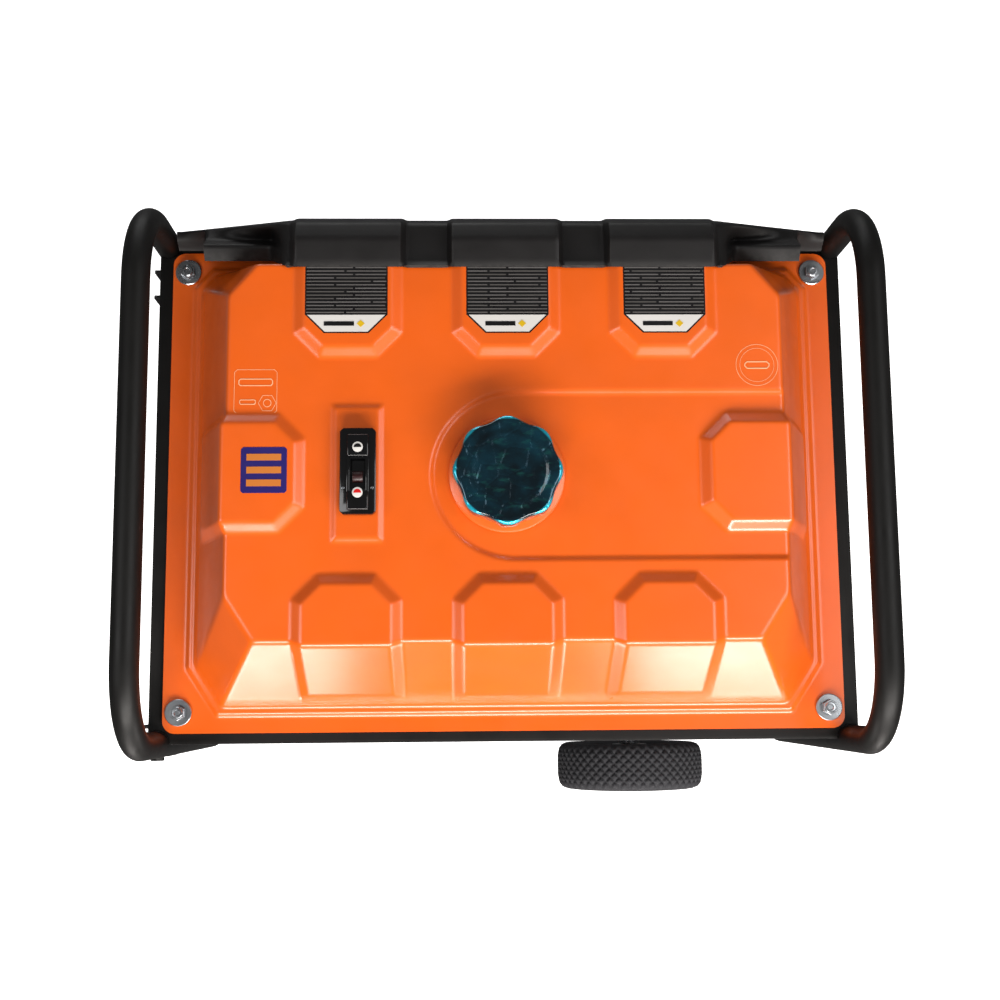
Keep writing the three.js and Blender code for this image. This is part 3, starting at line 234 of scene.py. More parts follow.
@dataclass(frozen=True)
class Finish:
    """A surface finish with grain, uneven colour, smudges and rubbed edges.

    Attributes:
        name: what a painter or moulder would call it.
        colour: its colour in hex.
        roughness: its average roughness.
        metallic: 1 for bare metal.
        coat: weight of a clear coat.
        coat_roughness: roughness of that coat.
        shine: strength of the plain reflection, 0.5 for most plastics and paints.
        grain: cells of the fine grain in a metre.
        relief: depth of that grain in millimetres.
        stretch: how the grain is drawn out along the axes, as brushing does.
        mottle: share by which the colour varies.
        smudge: amount by which the roughness varies.
        wear: how far edges are rubbed, 0 to 1.
        worn: colour of a rubbed edge in hex.
    """

    name: str
    colour: str
    roughness: float
    metallic: float = 0.0
    coat: float = 0.0
    coat_roughness: float = 0.15
    shine: float = 0.5
    grain: float = 1400.0
    relief: float = 0.02
    stretch: tuple[float, float, float] = (1.0, 1.0, 1.0)
    mottle: float = 0.08
    smudge: float = 0.06
    wear: float = 0.0
    worn: str = "8a8a88"

    def material(self) -> bpy.types.Material:
        """The finish as a material, made once and then shared."""
        found = bpy.data.materials.get(self.name)
        return found or self.mixed()

    def mixed(self) -> bpy.types.Material:
        """Builds the finish's nodes."""
        graph = Graph(self.name)
        base = linear(self.colour)
        darker = tuple(c * (1 - self.mottle) for c in base[:3]) + (1.0,)
        lighter = tuple(min(1.0, c * (1 + self.mottle)) for c in base[:3]) + (1.0,)
        clouds = graph.noise(14, 4)
        colour = graph.mix(graph.spread(clouds, 0, 1), darker, lighter)
        smudges = graph.noise(38, 5)
        roughness = graph.spread(smudges, self.roughness - self.smudge, self.roughness + self.smudge)
        if self.wear:
            edges = graph.add("ShaderNodeNewGeometry").outputs["Pointiness"]
            rubbed = graph.spread(edges, 0, self.wear, 0.53, 0.62)
            patchy = graph.maths("MULTIPLY", rubbed, graph.spread(graph.noise(160, 4), 0, 1, 0.42, 0.62))
            colour = graph.mix(patchy, colour, linear(self.worn))
        graph.join(colour, graph.shader.inputs["Base Color"])
        graph.join(roughness, graph.shader.inputs["Roughness"])
        normal = graph.bump(graph.noise(self.grain, 2, stretch=self.stretch), self.relief)
        graph.join(normal, graph.shader.inputs["Normal"])
        graph.shader.inputs["Metallic"].default_value = self.metallic
        graph.shader.inputs["Coat Weight"].default_value = self.coat
        graph.shader.inputs["Coat Roughness"].default_value = self.coat_roughness
        graph.shader.inputs["Specular IOR Level"].default_value = self.shine
        return graph.material


TANK_PAINT = Finish("tank_powder_paint", "E8600C", 0.34, coat=0.7, coat_roughness=0.2, grain=900,
                    relief=0.012, mottle=0.05, smudge=0.04)
FRAME_PAINT = Finish("frame_black_paint", "0D0C0B", 0.5, shine=0.28, grain=1100, relief=0.03, wear=0.2,
                     worn="3d3a37")
MOULDED_BLACK = Finish("moulded_black", "131111", 0.5, shine=0.35, grain=1600, relief=0.05, mottle=0.12,
                       wear=0.3, worn="4a4744")
GLOSS_BLACK = Finish("gloss_black", "070708", 0.12, coat=0.5, grain=300, relief=0.004, smudge=0.04)
PANEL_BLACK = Finish("panel_black", "202124", 0.55, grain=1800, relief=0.04)
TYRE_RUBBER = Finish("tyre_rubber", "110F0E", 0.72, grain=1300, relief=0.06, mottle=0.2, wear=0.35,
                     worn="3a3735")
BLACK_RUBBER = Finish("black_rubber", "141414", 0.8, grain=1500, relief=0.04, mottle=0.15)
ZINC = Finish("zinc_plate", "B4B8BC", 0.3, metallic=1.0, grain=700, relief=0.01, mottle=0.12, smudge=0.1)
CAST_ALLOY = Finish("cast_alloy", "7E8183", 0.55, metallic=0.6, grain=1000, relief=0.12, mottle=0.1,
                    smudge=0.1)
TURNED_STEEL = Finish("turned_steel", "6F7276", 0.3, metallic=1.0, grain=500, relief=0.01,
                      stretch=(8, 1, 1), smudge=0.08)
ROLLED_STEEL = Finish("heat_tinted_steel", "6D6964", 0.46, metallic=0.8, grain=400, relief=0.02, mottle=0.08,
                      smudge=0.07)
RIM_GREY = Finish("rim_grey_paint", "55585C", 0.45, coat=0.15, grain=900, relief=0.02, wear=0.3)
SOCKET_GREY = Finish("socket_grey", "3B3E42", 0.42, grain=1300, relief=0.02)
LID_BLUE = Finish("socket_lid_blue", "1F4E86", 0.35, grain=1300, relief=0.02)
SWITCH_RED = Finish("switch_red", "B3201A", 0.3, coat=0.2, grain=900, relief=0.01)
STRAINER = Finish("strainer_mesh", "2E3134", 0.6, grain=900, relief=0.3, mottle=0.2)
LABEL_WHITE = Finish("label_white", "D9D6D2", 0.35, grain=500, relief=0.003, mottle=0.03)
LABEL_BLACK = Finish("label_black", "100F10", 0.3, grain=500, relief=0.003)
LABEL_AMBER = Finish("label_amber", "D9B21C", 0.35, grain=500, relief=0.003)
LABEL_BLUE = Finish("label_blue", "241A66", 0.35, grain=500, relief=0.003)
LABEL_ORANGE = Finish("label_orange", "C8742C", 0.4, grain=500, relief=0.003)
LABEL_LINE = Finish("label_pale_line", "F3B78A", 0.4, grain=500, relief=0.003)
CLEAR_RED = Finish("indicator_red", "C81E1E", 0.2, coat=0.4, grain=500, relief=0.002)
DRUM_RED = Finish("drum_red", "2A0A0A", 0.4, grain=500, relief=0.002)
ROPE = Finish("braided_rope", "D8D2C4", 0.8, grain=900, relief=0.3, mottle=0.12)


@dataclass(frozen=True)
class RuledFinish(Finish):
    """Rows of short pale dashes on a dark plate, which stand for small print and hold no letters.

    Attributes:
        row: height of a row in millimetres.
        dash: length of a dash in millimetres.
        gap: share of a row that stays clear.
        ink: colour of the dashes in hex.
        faint: colour of the fainter dashes in hex.
    """

    row: float = 3.2
    dash: float = 46.0
    gap: float = 0.36
    ink: str = "6A6766"
    faint: str = "55524F"

    def mixed(self) -> bpy.types.Material:
        """Builds the dashes over the plain finish."""
        material = super().mixed()
        tree = material.node_tree
        shader = tree.nodes["Principled BSDF"]
        place = tree.nodes.new("ShaderNodeTexCoord")
        bricks = tree.nodes.new("ShaderNodeTexBrick")
        bricks.offset = 0.37
        bricks.squash = 1.4
        bricks.squash_frequency = 3
        bricks.inputs["Scale"].default_value = 1.0
        bricks.inputs["Brick Width"].default_value = self.dash * MM
        bricks.inputs["Row Height"].default_value = self.row * MM
        bricks.inputs["Mortar Size"].default_value = self.gap * self.row * MM
        bricks.inputs["Mortar Smooth"].default_value = 0.1
        bricks.inputs["Color1"].default_value = linear(self.ink)
        bricks.inputs["Color2"].default_value = linear(self.faint)
        bricks.inputs["Mortar"].default_value = linear(self.colour)
        tree.links.new(place.outputs["Object"], bricks.inputs["Vector"])
        tree.links.new(bricks.outputs["Color"], shader.inputs["Base Color"])
        return material


LABEL_PRINT = RuledFinish("label_ruled_print", "100F10", 0.3, grain=500, relief=0.003)


# ---------------------------------------------------------------- the bench
def select_only(piece: Piece) -> None:
    """Makes one piece the only selected and the active one."""
    bpy.ops.object.select_all(action="DESELECT")
    piece.select_set(True)
    bpy.context.view_layer.objects.active = piece


@contextmanager
def editing(piece: Piece, mode: str = "VERT") -> Iterator[None]:
    """Opens a piece in edit mode with everything selected, and closes it again.

    Args:
        piece: the mesh to edit.
        mode: what is selected, VERT, EDGE or FACE.
    """
    select_only(piece)
    bpy.ops.object.mode_set(mode="EDIT")
    bpy.ops.mesh.select_mode(type=mode)
    bpy.ops.mesh.select_all(action="SELECT")
    yield
    bpy.ops.object.mode_set(mode="OBJECT")


def apply_modifiers(piece: Piece) -> Piece:
    """Applies all of a piece's modifiers in order."""
    select_only(piece)
    for modifier in list(piece.modifiers):
        bpy.ops.object.modifier_apply(modifier=modifier.name)
    return piece


def settle(piece: Piece, name: str) -> Piece:
    """Names a piece and applies its place, so that its object sits at the origin."""
    select_only(piece)
    bpy.ops.object.transform_apply(location=True, rotation=True, scale=True)
    piece.name = name
    piece.data.name = name
    return piece


def smooth(piece: Piece, angle: float = 35.0) -> Piece:
    """Shades a piece smooth except over edges sharper than the angle, in degrees."""
    select_only(piece)
    bpy.ops.object.shade_smooth_by_angle(angle=math.radians(angle))
    return piece


def rounded(piece: Piece, width: float, segments: int = 2, angle: float = 30.0) -> Piece:
    """Rounds a piece's sharp edges.

    Args:
        piece: the mesh.
        width: the rounding's width in millimetres.
        segments: faces across it.
        angle: edges sharper than this, in degrees, are rounded.

    Returns:
        The piece.
    """
    if width > 0:
        bevel = piece.modifiers.new("rounding", "BEVEL")
        bevel.width = width * MM
        bevel.segments = segments
        bevel.limit_method = "ANGLE"
        bevel.angle_limit = math.radians(angle)
        bevel.harden_normals = False
        apply_modifiers(piece)
    return smooth(piece)


def block(name: str, low: Point, high: Point, rounding: float = 1.0, segments: int = 2) -> Piece:
    """A box between two corners given in metres, with rounded edges."""
    low, high = Vector(low), Vector(high)
    bpy.ops.object.select_all(action="DESELECT")
    bpy.ops.mesh.primitive_cube_add(size=1, location=(low + high) / 2, scale=high - low)
    return rounded(settle(bpy.context.object, name), rounding, segments)


def rod(name: str, radius: float, start: Point, end: Point, rounding: float = 0.6,
        sides: int = 40, tip: float | None = None) -> Piece:
    """A round bar between two points.

    Args:
        name: the piece's name.
        radius: at the start, in millimetres.
        start: centre of one end, in metres.
        end: centre of the other end, in metres.
        rounding: of the two rims, in millimetres.
        sides: flats round it.
        tip: radius at the end if the bar is tapered, in millimetres.

    Returns:
        The bar.
    """
    start, end = Vector(start), Vector(end)
    turn = (end - start).to_track_quat("Z", "Y").to_euler()
    bpy.ops.object.select_all(action="DESELECT")
    bpy.ops.mesh.primitive_cone_add(vertices=sides, radius1=radius * MM,
                                    radius2=(radius if tip is None else tip) * MM,
                                    depth=(end - start).length, location=(start + end) / 2, rotation=turn)
    return rounded(settle(bpy.context.object, name), rounding, 2, 360 / sides + 12)


def turned(name: str, profile: Sequence[Point], axis: Axis, centre: Point, steps: int = 72,
           angle: float = 30.0) -> Piece:
    """A lathe piece: its half section is spun once round.

    Args:
        name: the piece's name.
        profile: radius and height pairs in millimetres, closed on the axis or on itself.
        axis: what it turns about.
        centre: where radius and height are zero, in metres.
        steps: flats round it.
        angle: edges sharper than this, in degrees, stay sharp.

    Returns:
        The turned piece.
    """
    along = Vector(axis.value)
    out = Vector((0, 0, 1)) if axis is not Axis.Z else Vector((1, 0, 0))
    centre = Vector(centre)
    points = [centre + (out * radius + along * height) * MM for radius, height in profile]
    mesh = bpy.data.meshes.new(name)
    mesh.from_pydata(points, [(i, i + 1) for i in range(len(points) - 1)], [])
    piece = bpy.data.objects.new(name, mesh)
    bpy.context.scene.collection.objects.link(piece)
    with editing(piece):
        bpy.ops.mesh.spin(steps=steps, angle=2 * math.pi, center=centre, axis=along)
        bpy.ops.mesh.select_all(action="SELECT")
        bpy.ops.mesh.remove_doubles(threshold=0.02 * MM)
        bpy.ops.mesh.dissolve_degenerate(threshold=0.001 * MM)
        bpy.ops.mesh.normals_make_consistent(inside=False)
    return smooth(piece, angle)


def rounded_profile(corners: Sequence[Point], radius: float, steps: int = 4) -> list[tuple[float, float]]:
    """Rounds the inner corners of an open outline.

    Args:
        corners: the outline's corners.
        radius: how far from a corner its rounding starts.
        steps: points on each rounding.

    Returns:
        The rounded outline's points.
    """
    points = [tuple(corners[0])]
    for before, corner, after in zip(corners, corners[1:], corners[2:]):
        here, back, on = Vector(corner), Vector(before), Vector(after)
        reach = min(radius, (back - here).length / 2.2, (on - here).length / 2.2)
        start = here + (back - here).normalized() * reach
        end = here + (on - here).normalized() * reach
        for step in range(steps + 1):
            t = step / steps
            point = start * (1 - t) ** 2 + here * 2 * t * (1 - t) + end * t ** 2
            points.append(tuple(point))
    points.append(tuple(corners[-1]))
    return points


def swept(name: str, points: Sequence[Point], radius: float, sides: int = 12, closed: bool = False) -> Piece:
    """A round tube, wire or rope along points in metres, radius in millimetres."""
    curve = bpy.data.curves.new(name, "CURVE")
    curve.dimensions = "3D"
    curve.bevel_depth = radius * MM
    curve.bevel_resolution = max(1, sides // 4 - 1)
    curve.use_fill_caps = not closed
    spline = curve.splines.new("POLY")
    spline.points.add(len(points) - 1)
    for target, point in zip(spline.points, points):
        target.co = (*point, 1)
    spline.use_cyclic_u = closed
    piece = bpy.data.objects.new(name, curve)
    bpy.context.scene.collection.objects.link(piece)
    select_only(piece)
    bpy.ops.object.convert(target="MESH")
    return smooth(bpy.context.object, 45)


def plate(name: str, outline: Sequence[Point], base: float, height: float, rounding: float = 0.0) -> Piece:
    """A flat plate: its outline is filled and extruded upwards.

    Args:
        name: the piece's name.
        outline: its corners in plan, in metres, anticlockwise.
        base: height of its underside in metres.
        height: its thickness in millimetres.
        rounding: of its edges, in millimetres.

    Returns:
        The plate.
    """
    mesh = bpy.data.meshes.new(name)
    mesh.from_pydata([(x, y, base) for x, y in outline], [], [list(range(len(outline)))])
    piece = bpy.data.objects.new(name, mesh)
    bpy.context.scene.collection.objects.link(piece)
    with editing(piece, "FACE"):
        bpy.ops.mesh.extrude_region_move(TRANSFORM_OT_translate={"value": (0, 0, height * MM)})
        bpy.ops.mesh.select_all(action="SELECT")
        bpy.ops.mesh.normals_make_consistent(inside=False)
    return rounded(piece, rounding)


def hexagon(name: str, across: float, start: Point, end: Point) -> Piece:
    """A bolt head or nut: a six-sided bar with turned-down corners, across flats in millimetres."""
    piece = rod(name, across / math.sqrt(3), start, end, 0, 6)
    return rounded(piece, 0.5, 2)


def copied(node: str, name: str) -> Piece:
    """A copy of a frame node with its corners merged and its flat faces joined."""
    source = frame["nodes"][node]
    piece = bpy.data.objects.new(name, source.data.copy())
    bpy.context.scene.collection.objects.link(piece)
    piece.data.materials.clear()
    if piece.data.has_custom_normals:
        select_only(piece)
        bpy.ops.mesh.customdata_custom_splitnormals_clear()
    with editing(piece):
        bpy.ops.mesh.remove_doubles(threshold=0.01 * MM)
        bpy.ops.mesh.dissolve_limited(angle_limit=math.radians(0.6))
    return piece


def joined(name: str, pieces: Sequence[Piece]) -> Piece:
    """Joins pieces into the first one and names it."""
    bpy.ops.object.select_all(action="DESELECT")
    for piece in pieces:
        piece.select_set(True)
    bpy.context.view_layer.objects.active = pieces[0]
    bpy.ops.object.join()
    pieces[0].name = name
    pieces[0].data.name = name
    return pieces[0]


def dress(piece: Piece, finish: Finish, body: Body | str, replaces: Sequence[str] = ()) -> Piece:
    """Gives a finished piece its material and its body.

    Args:
        piece: the mesh.
        finish: what it is finished in, unless it already has materials.
        body: the body that it rides on.
        replaces: the frame nodes it stands for.

    Returns:
        The piece.
    """
    if not piece.data.materials:
        piece.data.materials.append(finish.material())
    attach(piece, body.value if isinstance(body, Body) else body)
    if replaces:
        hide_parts(*replaces)
    return piece


def middle(node: str) -> Vector:
    """The middle of a frame node's box."""
    low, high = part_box(node)
    return (low + high) / 2


# ---------------------------------------------------------------- fuel tank
def soft_min(first: np.ndarray, second: np.ndarray, blend: float) -> np.ndarray:
    """The lower of two heights, with a rounding where they cross."""
    share = np.clip(0.5 + 0.5 * (second - first) / blend, 0, 1)
    return second + (first - second) * share - blend * share * (1 - share)


def soft_max(first: np.ndarray, second: np.ndarray, blend: float) -> np.ndarray:
    """The higher of two heights, with a fillet where they cross."""
    return -soft_min(-first, -second, blend)


def eased(value: np.ndarray) -> np.ndarray:
    """Takes 0..1 to 0..1 with a soft start and end."""
    held = np.clip(value, 0, 1)
    return held * held * (3 - 2 * held)


def ramp(depth: np.ndarray, width: float, ease: float = 1.2) -> np.ndarray:
    """A straight slope from 0 to 1 over a width, with its two ends slightly rounded."""
    raw = soft_max(depth / width, np.zeros_like(depth), ease / width)
    return soft_min(raw, np.ones_like(depth), ease / width)


@dataclass
class TankShell:
    """The pressed upper shell of the fuel tank, drawn from one sheet over its flange.

    Attributes:
        flange: half length and half depth of the flange.
        corner: radius of the flange's corners.
        rise: height of the flat top over the flange.
        foot: half length, front and rear depth at the slopes' feet.
        top: half length, front and rear depth of the flat top.
        rear_corner: shares of X and Y, reach and run of the facets cut across the rear corners.
        front_corner: the same of the front ones.
        ledge: width and height of the step at the slopes' feet.
        pad_rise: how far the pads stand out.
        pad_bevel: width of their sloping edges.
        pad_half: half width of a pad at its foot.
        pad_pitch: between the middles of the pads along X.
        channel: radius, edge width and depth of the channel round the filler.
        sheet: thickness of the metal.
        pitch: spacing of the mesh.
    """

    flange: tuple[float, float] = (321.0, 232.0)
    corner: float = 12.0
    rise: float = 100.0
    foot: tuple[float, float, float] = (300.0, 217.0, 217.0)
    top: tuple[float, float, float] = (250.0, 190.0, 152.0)
    rear_corner: tuple[float, float, float, float] = (0.84, 0.542, 345.0, 74.6)
    front_corner: tuple[float, float, float, float] = (0.75, -0.6616, 355.1, 61.1)
    ledge: tuple[float, float] = (9.0, 4.0)
    pad_rise: float = 6.0
    pad_bevel: float = 10.0
    pad_half: float = 49.0
    pad_pitch: float = 142.0
    pad_starts: tuple[float, float, float] = (102.0, 92.0, 179.0)
    channel: tuple[float, float, float] = (77.0, 4.0, 2.5)
    filler_y: float = 4.5
    neck_hole: float = 37.0
    plinth: tuple[float, float, float, float] = (109.5, 156.5, -60.0, 65.0)
    sheet: float = 2.0
    pitch: float = 1.9
    floor_pitch: float = 9.0

    def __post_init__(self) -> None:
        """Takes the tank's place from the frame."""
        low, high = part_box("tank_upper_shell")
        self.middle_x = (low.x + high.x) / 2
        self.middle_y = (low.y + high.y) / 2
        self.flange_top = low.z + 2.2 * MM

    def feet(self, x: np.ndarray, y: np.ndarray) -> list[tuple[np.ndarray, float]]:
        """How far a point lies inside each slope's foot line, with that slope's run."""
        foot_x, front, rear = self.foot
        top_x, top_front, top_rear = self.top
        side = np.abs(x)
        slopes = [(foot_x - side, foot_x - top_x), (rear - y, rear - top_rear),
                  (front + y, front - top_front)]
        for along, across, reach, run in (self.rear_corner, self.front_corner):
            slopes.append((reach - (along * side + across * y), run))
        return slopes

    def pad_depths(self, x: np.ndarray, y: np.ndarray) -> np.ndarray:
        """How far a point lies inside the outline of the pad that it is on."""
        cut = 23.0
        depth = np.full_like(x, -99.0)
        front_start, rear_start, side_start = self.pad_starts
        for place in (-1, 0, 1):
            off = np.abs(x - place * self.pad_pitch)
            for along in (-y - front_start, y - rear_start):
                corner = (self.pad_half - off + along - cut) / math.sqrt(2)
                inside = np.minimum(np.minimum(self.pad_half - off, along), corner)
                depth = np.maximum(depth, inside)
        off = np.abs(y - self.filler_y * 0.5)
        side_half = self.pad_half + 5
        for along in (x - side_start, -x - side_start + 6):
            corner = (side_half - off + along - cut) / math.sqrt(2)
            depth = np.maximum(depth, np.minimum(np.minimum(side_half - off, along), corner))
        return depth

    def heights(self, x: np.ndarray, y: np.ndarray) -> np.ndarray:
        """Height of the pressed sheet over the flange.

        Args:
            x: millimetres from the tank's middle, along its length.
            y: millimetres from its middle, towards the rear.

        Returns:
            Heights in millimetres.
        """
        ledge, step = self.ledge
        pad = ramp(self.pad_depths(x, y), self.pad_bevel)
        lines = self.feet(x, y)
        nearest = np.minimum.reduce([depth for depth, _ in lines])
        on_slope = eased((nearest - ledge - 4) / 6)
        slopes = None
        for depth, run in lines:
            fall = (self.rise - step) / (run - ledge)
            plane = step + (depth - ledge) * fall + self.pad_rise * pad * on_slope * math.hypot(1, fall)
            slopes = plane if slopes is None else soft_min(slopes, plane, 5)
        radius, edge, deep = self.channel
        centre_x = -8.0
        reach = np.hypot(np.maximum(x - centre_x, 0), y - self.filler_y)
        channel = ramp(radius - reach, edge, 0.8)
        left, right, front, rear = self.plinth
        inside = np.minimum(np.minimum(x - left, right - x), np.minimum(y - front, rear - y))
        flat = self.rise - deep * channel * (1 - pad) + self.pad_rise * pad + 2.4 * ramp(inside, 4.6, 0.8)
        body = soft_min(flat, slopes, 5)
        shelf = step * eased((nearest + 1) / 5)
        return np.maximum(soft_max(body, shelf, 5), 0)

    def sheet_mesh(self, name: str, pitch: float, drop: float) -> Piece:
        """One side of the shell: a grid pressed to shape, trimmed at its corners and round the neck.

        Args:
            name: the piece's name.
            pitch: spacing of its mesh in millimetres.
            drop: how far it lies under the outer surface.

        Returns:
            The open sheet.
        """
        half_x, half_y = self.flange
        columns = round(2 * half_x / pitch)
        rows = round(2 * half_y / pitch)
        bpy.ops.object.select_all(action="DESELECT")
        bpy.ops.mesh.primitive_grid_add(x_subdivisions=columns, y_subdivisions=rows, size=2)
        piece = settle(bpy.context.object, name)
        mesh = piece.data
        spots = np.zeros(len(mesh.vertices) * 3)
        mesh.vertices.foreach_get("co", spots)
        spots = spots.reshape(-1, 3)
        x, y = spots[:, 0] * half_x, spots[:, 1] * half_y
        core_x, core_y = half_x - self.corner, half_y - self.corner
        out_x, out_y = np.abs(x) - core_x, np.abs(y) - core_y
        beyond = np.where((out_x > 0) & (out_y > 0), np.hypot(out_x, out_y) - self.corner, -99)
        from_neck = np.hypot(x, y - self.filler_y) - self.neck_hole
        with editing(piece, "VERT"):
            bpy.ops.mesh.select_all(action="DESELECT")
        for index in np.nonzero((beyond > 0.75 * pitch) | (from_neck < -0.75 * pitch))[0]:
            mesh.vertices[int(index)].select = True
        kept = ~((beyond > 0.75 * pitch) | (from_neck < -0.75 * pitch))
        pull = np.where(np.abs(beyond) < 0.75 * pitch, self.corner / (beyond + self.corner + 1e-9), 1.0)
        x = np.where((beyond > -50) & (pull != 1), np.sign(x) * (core_x + out_x * pull), x)
        y = np.where((beyond > -50) & (pull != 1), np.sign(y) * (core_y + out_y * pull), y)
        near = np.abs(from_neck) < 0.75 * pitch
        ring = np.hypot(x, y - self.filler_y) + 1e-9
        x = np.where(near, x * self.neck_hole / ring, x)
        y = np.where(near, (y - self.filler_y) * self.neck_hole / ring + self.filler_y, y)
        z = self.heights(x, y) - drop
        spots = np.stack([x * MM + self.middle_x, y * MM + self.middle_y, z * MM + self.flange_top], 1)
        mesh.vertices.foreach_set("co", spots.ravel())
        mesh.update()
        select_only(piece)
        bpy.ops.object.mode_set(mode="EDIT")
        bpy.ops.mesh.delete(type="VERT")
        bpy.ops.object.mode_set(mode="OBJECT")
        LOG.info("%s pressed from %d of %d points", name, int(kept.sum()), len(kept))
        return piece

    def bridge_rims(self, piece: Piece) -> None:
        """Closes the sheet's edge between its two sides, round the flange and round the neck."""
        mesh = piece.data
        centre = Vector((self.middle_x, self.middle_y + self.filler_y * MM, 0))
        used: dict[tuple[int, int], int] = {}
        for face in mesh.polygons:
            for key in face.edge_keys:
                used[key] = used.get(key, 0) + 1
        for at_neck in (True, False):
            with editing(piece, "EDGE"):
                bpy.ops.mesh.select_all(action="DESELECT")
            for edge in mesh.edges:
                spot = mesh.vertices[edge.vertices[0]].co - centre
                close = math.hypot(spot.x, spot.y) < 2 * self.neck_hole * MM
                edge.select = used.get(tuple(sorted(edge.vertices)), 0) == 1 and close == at_neck
            select_only(piece)
            bpy.ops.object.mode_set(mode="EDIT")
            bpy.ops.mesh.bridge_edge_loops()
            bpy.ops.object.mode_set(mode="OBJECT")
            used = {}
            for face in mesh.polygons:
                for key in face.edge_keys:
                    used[key] = used.get(key, 0) + 1

    def build(self) -> Piece:
        """Presses, closes and paints the shell."""
        outer = self.sheet_mesh("tank_shell", self.pitch, 0.0)
        inner = self.sheet_mesh("tank_shell_inside", self.floor_pitch, self.sheet)
        with editing(inner, "FACE"):
            bpy.ops.mesh.flip_normals()
        piece = joined("tank_shell", [outer, inner])
        self.bridge_rims(piece)
        with editing(piece, "FACE"):
            bpy.ops.mesh.normals_make_consistent(inside=False)
        smooth(piece, 50)
        return dress(piece, TANK_PAINT, Body.FRAME, ["tank_upper_shell"])


@dataclass
class Stickers:
    """Thin printed plates on the tank, with plain rules and shapes and no letters.

    Attributes:
        tank: the shell that they lie on.
        thick: thickness of a plate in millimetres.
    """

    tank: TankShell
    thick: float = 0.25

    def spot(self, x: float, y: float) -> tuple[float, float]:
        """A point on the tank's plan, from millimetres to metres in the frame."""
        return self.tank.middle_x + x * MM, self.tank.middle_y + y * MM

    def outline(self, points: Sequence[Point]) -> list[tuple[float, float]]:
        """Turns an outline in millimetres into one in the frame."""
        return [self.spot(x, y) for x, y in points]

    def level(self, rise: float, layer: int = 0) -> float:
        """Height of a sticker's underside on a surface that far above the flange."""
        return self.tank.flange_top + (rise + 0.03) * MM + layer * self.thick * MM

    def pad_plates(self) -> None:
        """The three plates on the front pads, each with a white foot and an amber lozenge."""
        level = self.tank.rise + self.tank.pad_rise
        half, near, far, cut = 37.0, -186.0, -123.5, 17.0
        foot = 34.0
        for place, side in ((1, "left"), (0, "middle"), (-1, "right")):
            centre = place * self.tank.pad_pitch + (1.2 if place == 1 else -1.6)
            edge = [(centre - half, near), (centre + half, near), (centre + half, far - cut),
                    (centre + foot / 2 + 3, far), (centre - foot / 2 - 3, far), (centre - half, far - cut)]
            base = plate(f"label_{side}_base", self.outline(edge), self.level(level), self.thick)
            dress(base, LABEL_BLACK, Body.FRAME)
            small = 1.2
            ruled = [(centre - half + small, near), (centre + half - small, near),
                     (centre + half - small, far - cut - 1.5), (centre - half + small, far - cut - 1.5)]
            print_ = plate(f"label_{side}_print", self.outline(ruled), self.level(level, 1), self.thick)
            dress(print_, LABEL_PRINT, Body.FRAME)
            white = [(centre - half + 2.2, far - cut + 0.3), (centre + half - 2.2, far - cut + 0.3),
                     (centre + foot / 2 + 2.2, far - small), (centre - foot / 2 - 2.2, far - small)]
            band = plate(f"label_{side}_foot", self.outline(white), self.level(level, 1), self.thick)
            dress(band, LABEL_WHITE, Body.FRAME)
            lozenge = [(centre - 13, far - 5.2), (centre - 9.4, far - 8.6), (centre - 13, far - 12.0),
                       (centre - 16.6, far - 8.6)]
            mark = plate(f"label_{side}_lozenge", self.outline(lozenge), self.level(level, 2), self.thick)
            dress(mark, LABEL_AMBER, Body.FRAME)
            rule = [(centre - 7, far - 10.6), (centre + 20, far - 10.6), (centre + 20, far - 6.6),
                    (centre - 7, far - 6.6)]
            line = plate(f"label_{side}_rule", self.outline(rule), self.level(level, 2), self.thick)
            dress(line, LABEL_BLACK, Body.FRAME)

    def ring(self, name: str, points: Sequence[Point], width: float) -> Piece:
        """A thin printed line along a closed outline in millimetres."""
        level = self.level(self.tank.rise) + 0.1 * MM
        route = [(*self.spot(x, y), level) for x, y in points]
        piece = swept(name, route, width / 2, 4, closed=True)
        spots = np.zeros(len(piece.data.vertices) * 3)
        piece.data.vertices.foreach_get("co", spots)
        spots = spots.reshape(-1, 3)
        spots[:, 2] = level + (spots[:, 2] - level) * 0.35
        piece.data.vertices.foreach_set("co", spots.ravel())
        return piece

    def outlines(self) -> None:
        """The square and the round outline stickers."""
        def rounded_square(x0: float, x1: float, y0: float, y1: float, cut: float) -> list[Point]:
            """A square outline with its corners cut off."""
            return [(x0 + cut, y0), (x1 - cut, y0), (x1, y0 + cut), (x1, y1 - cut), (x1 - cut, y1),
                    (x0 + cut, y1), (x0, y1 - cut), (x0, y0 + cut)]

        def circle(x: float, y: float, radius: float, sides: int) -> list[Point]:
            """A regular outline with that many sides."""
            turn = [2 * math.pi * i / sides for i in range(sides)]
            return [(x + radius * math.cos(a), y + radius * math.sin(a)) for a in turn]

        lines = [self.ring("sticker_square_line", rounded_square(205, 243, -91.5, -51.5, 2.5), 0.45),
                 self.ring("sticker_square_hexagon", circle(213.5, -61, 8, 6), 0.5),
                 self.ring("sticker_square_dial", circle(213.5, -61, 3.4, 20), 0.6),
                 self.ring("sticker_square_bar", rounded_square(224, 238, -64, -60, 1), 0.8),
                 self.ring("sticker_square_long_bar", rounded_square(209, 239, -83, -77, 1.5), 0.9),
                 self.ring("sticker_round_line", circle(-227, -95, 19, 64), 0.4),
                 self.ring("sticker_round_inner", circle(-227, -95, 15.5, 48), 0.3),
                 self.ring("sticker_round_bar", rounded_square(-238, -216, -98, -92, 2), 1.0)]
        for line in lines:
            dress(line, LABEL_LINE, Body.FRAME)

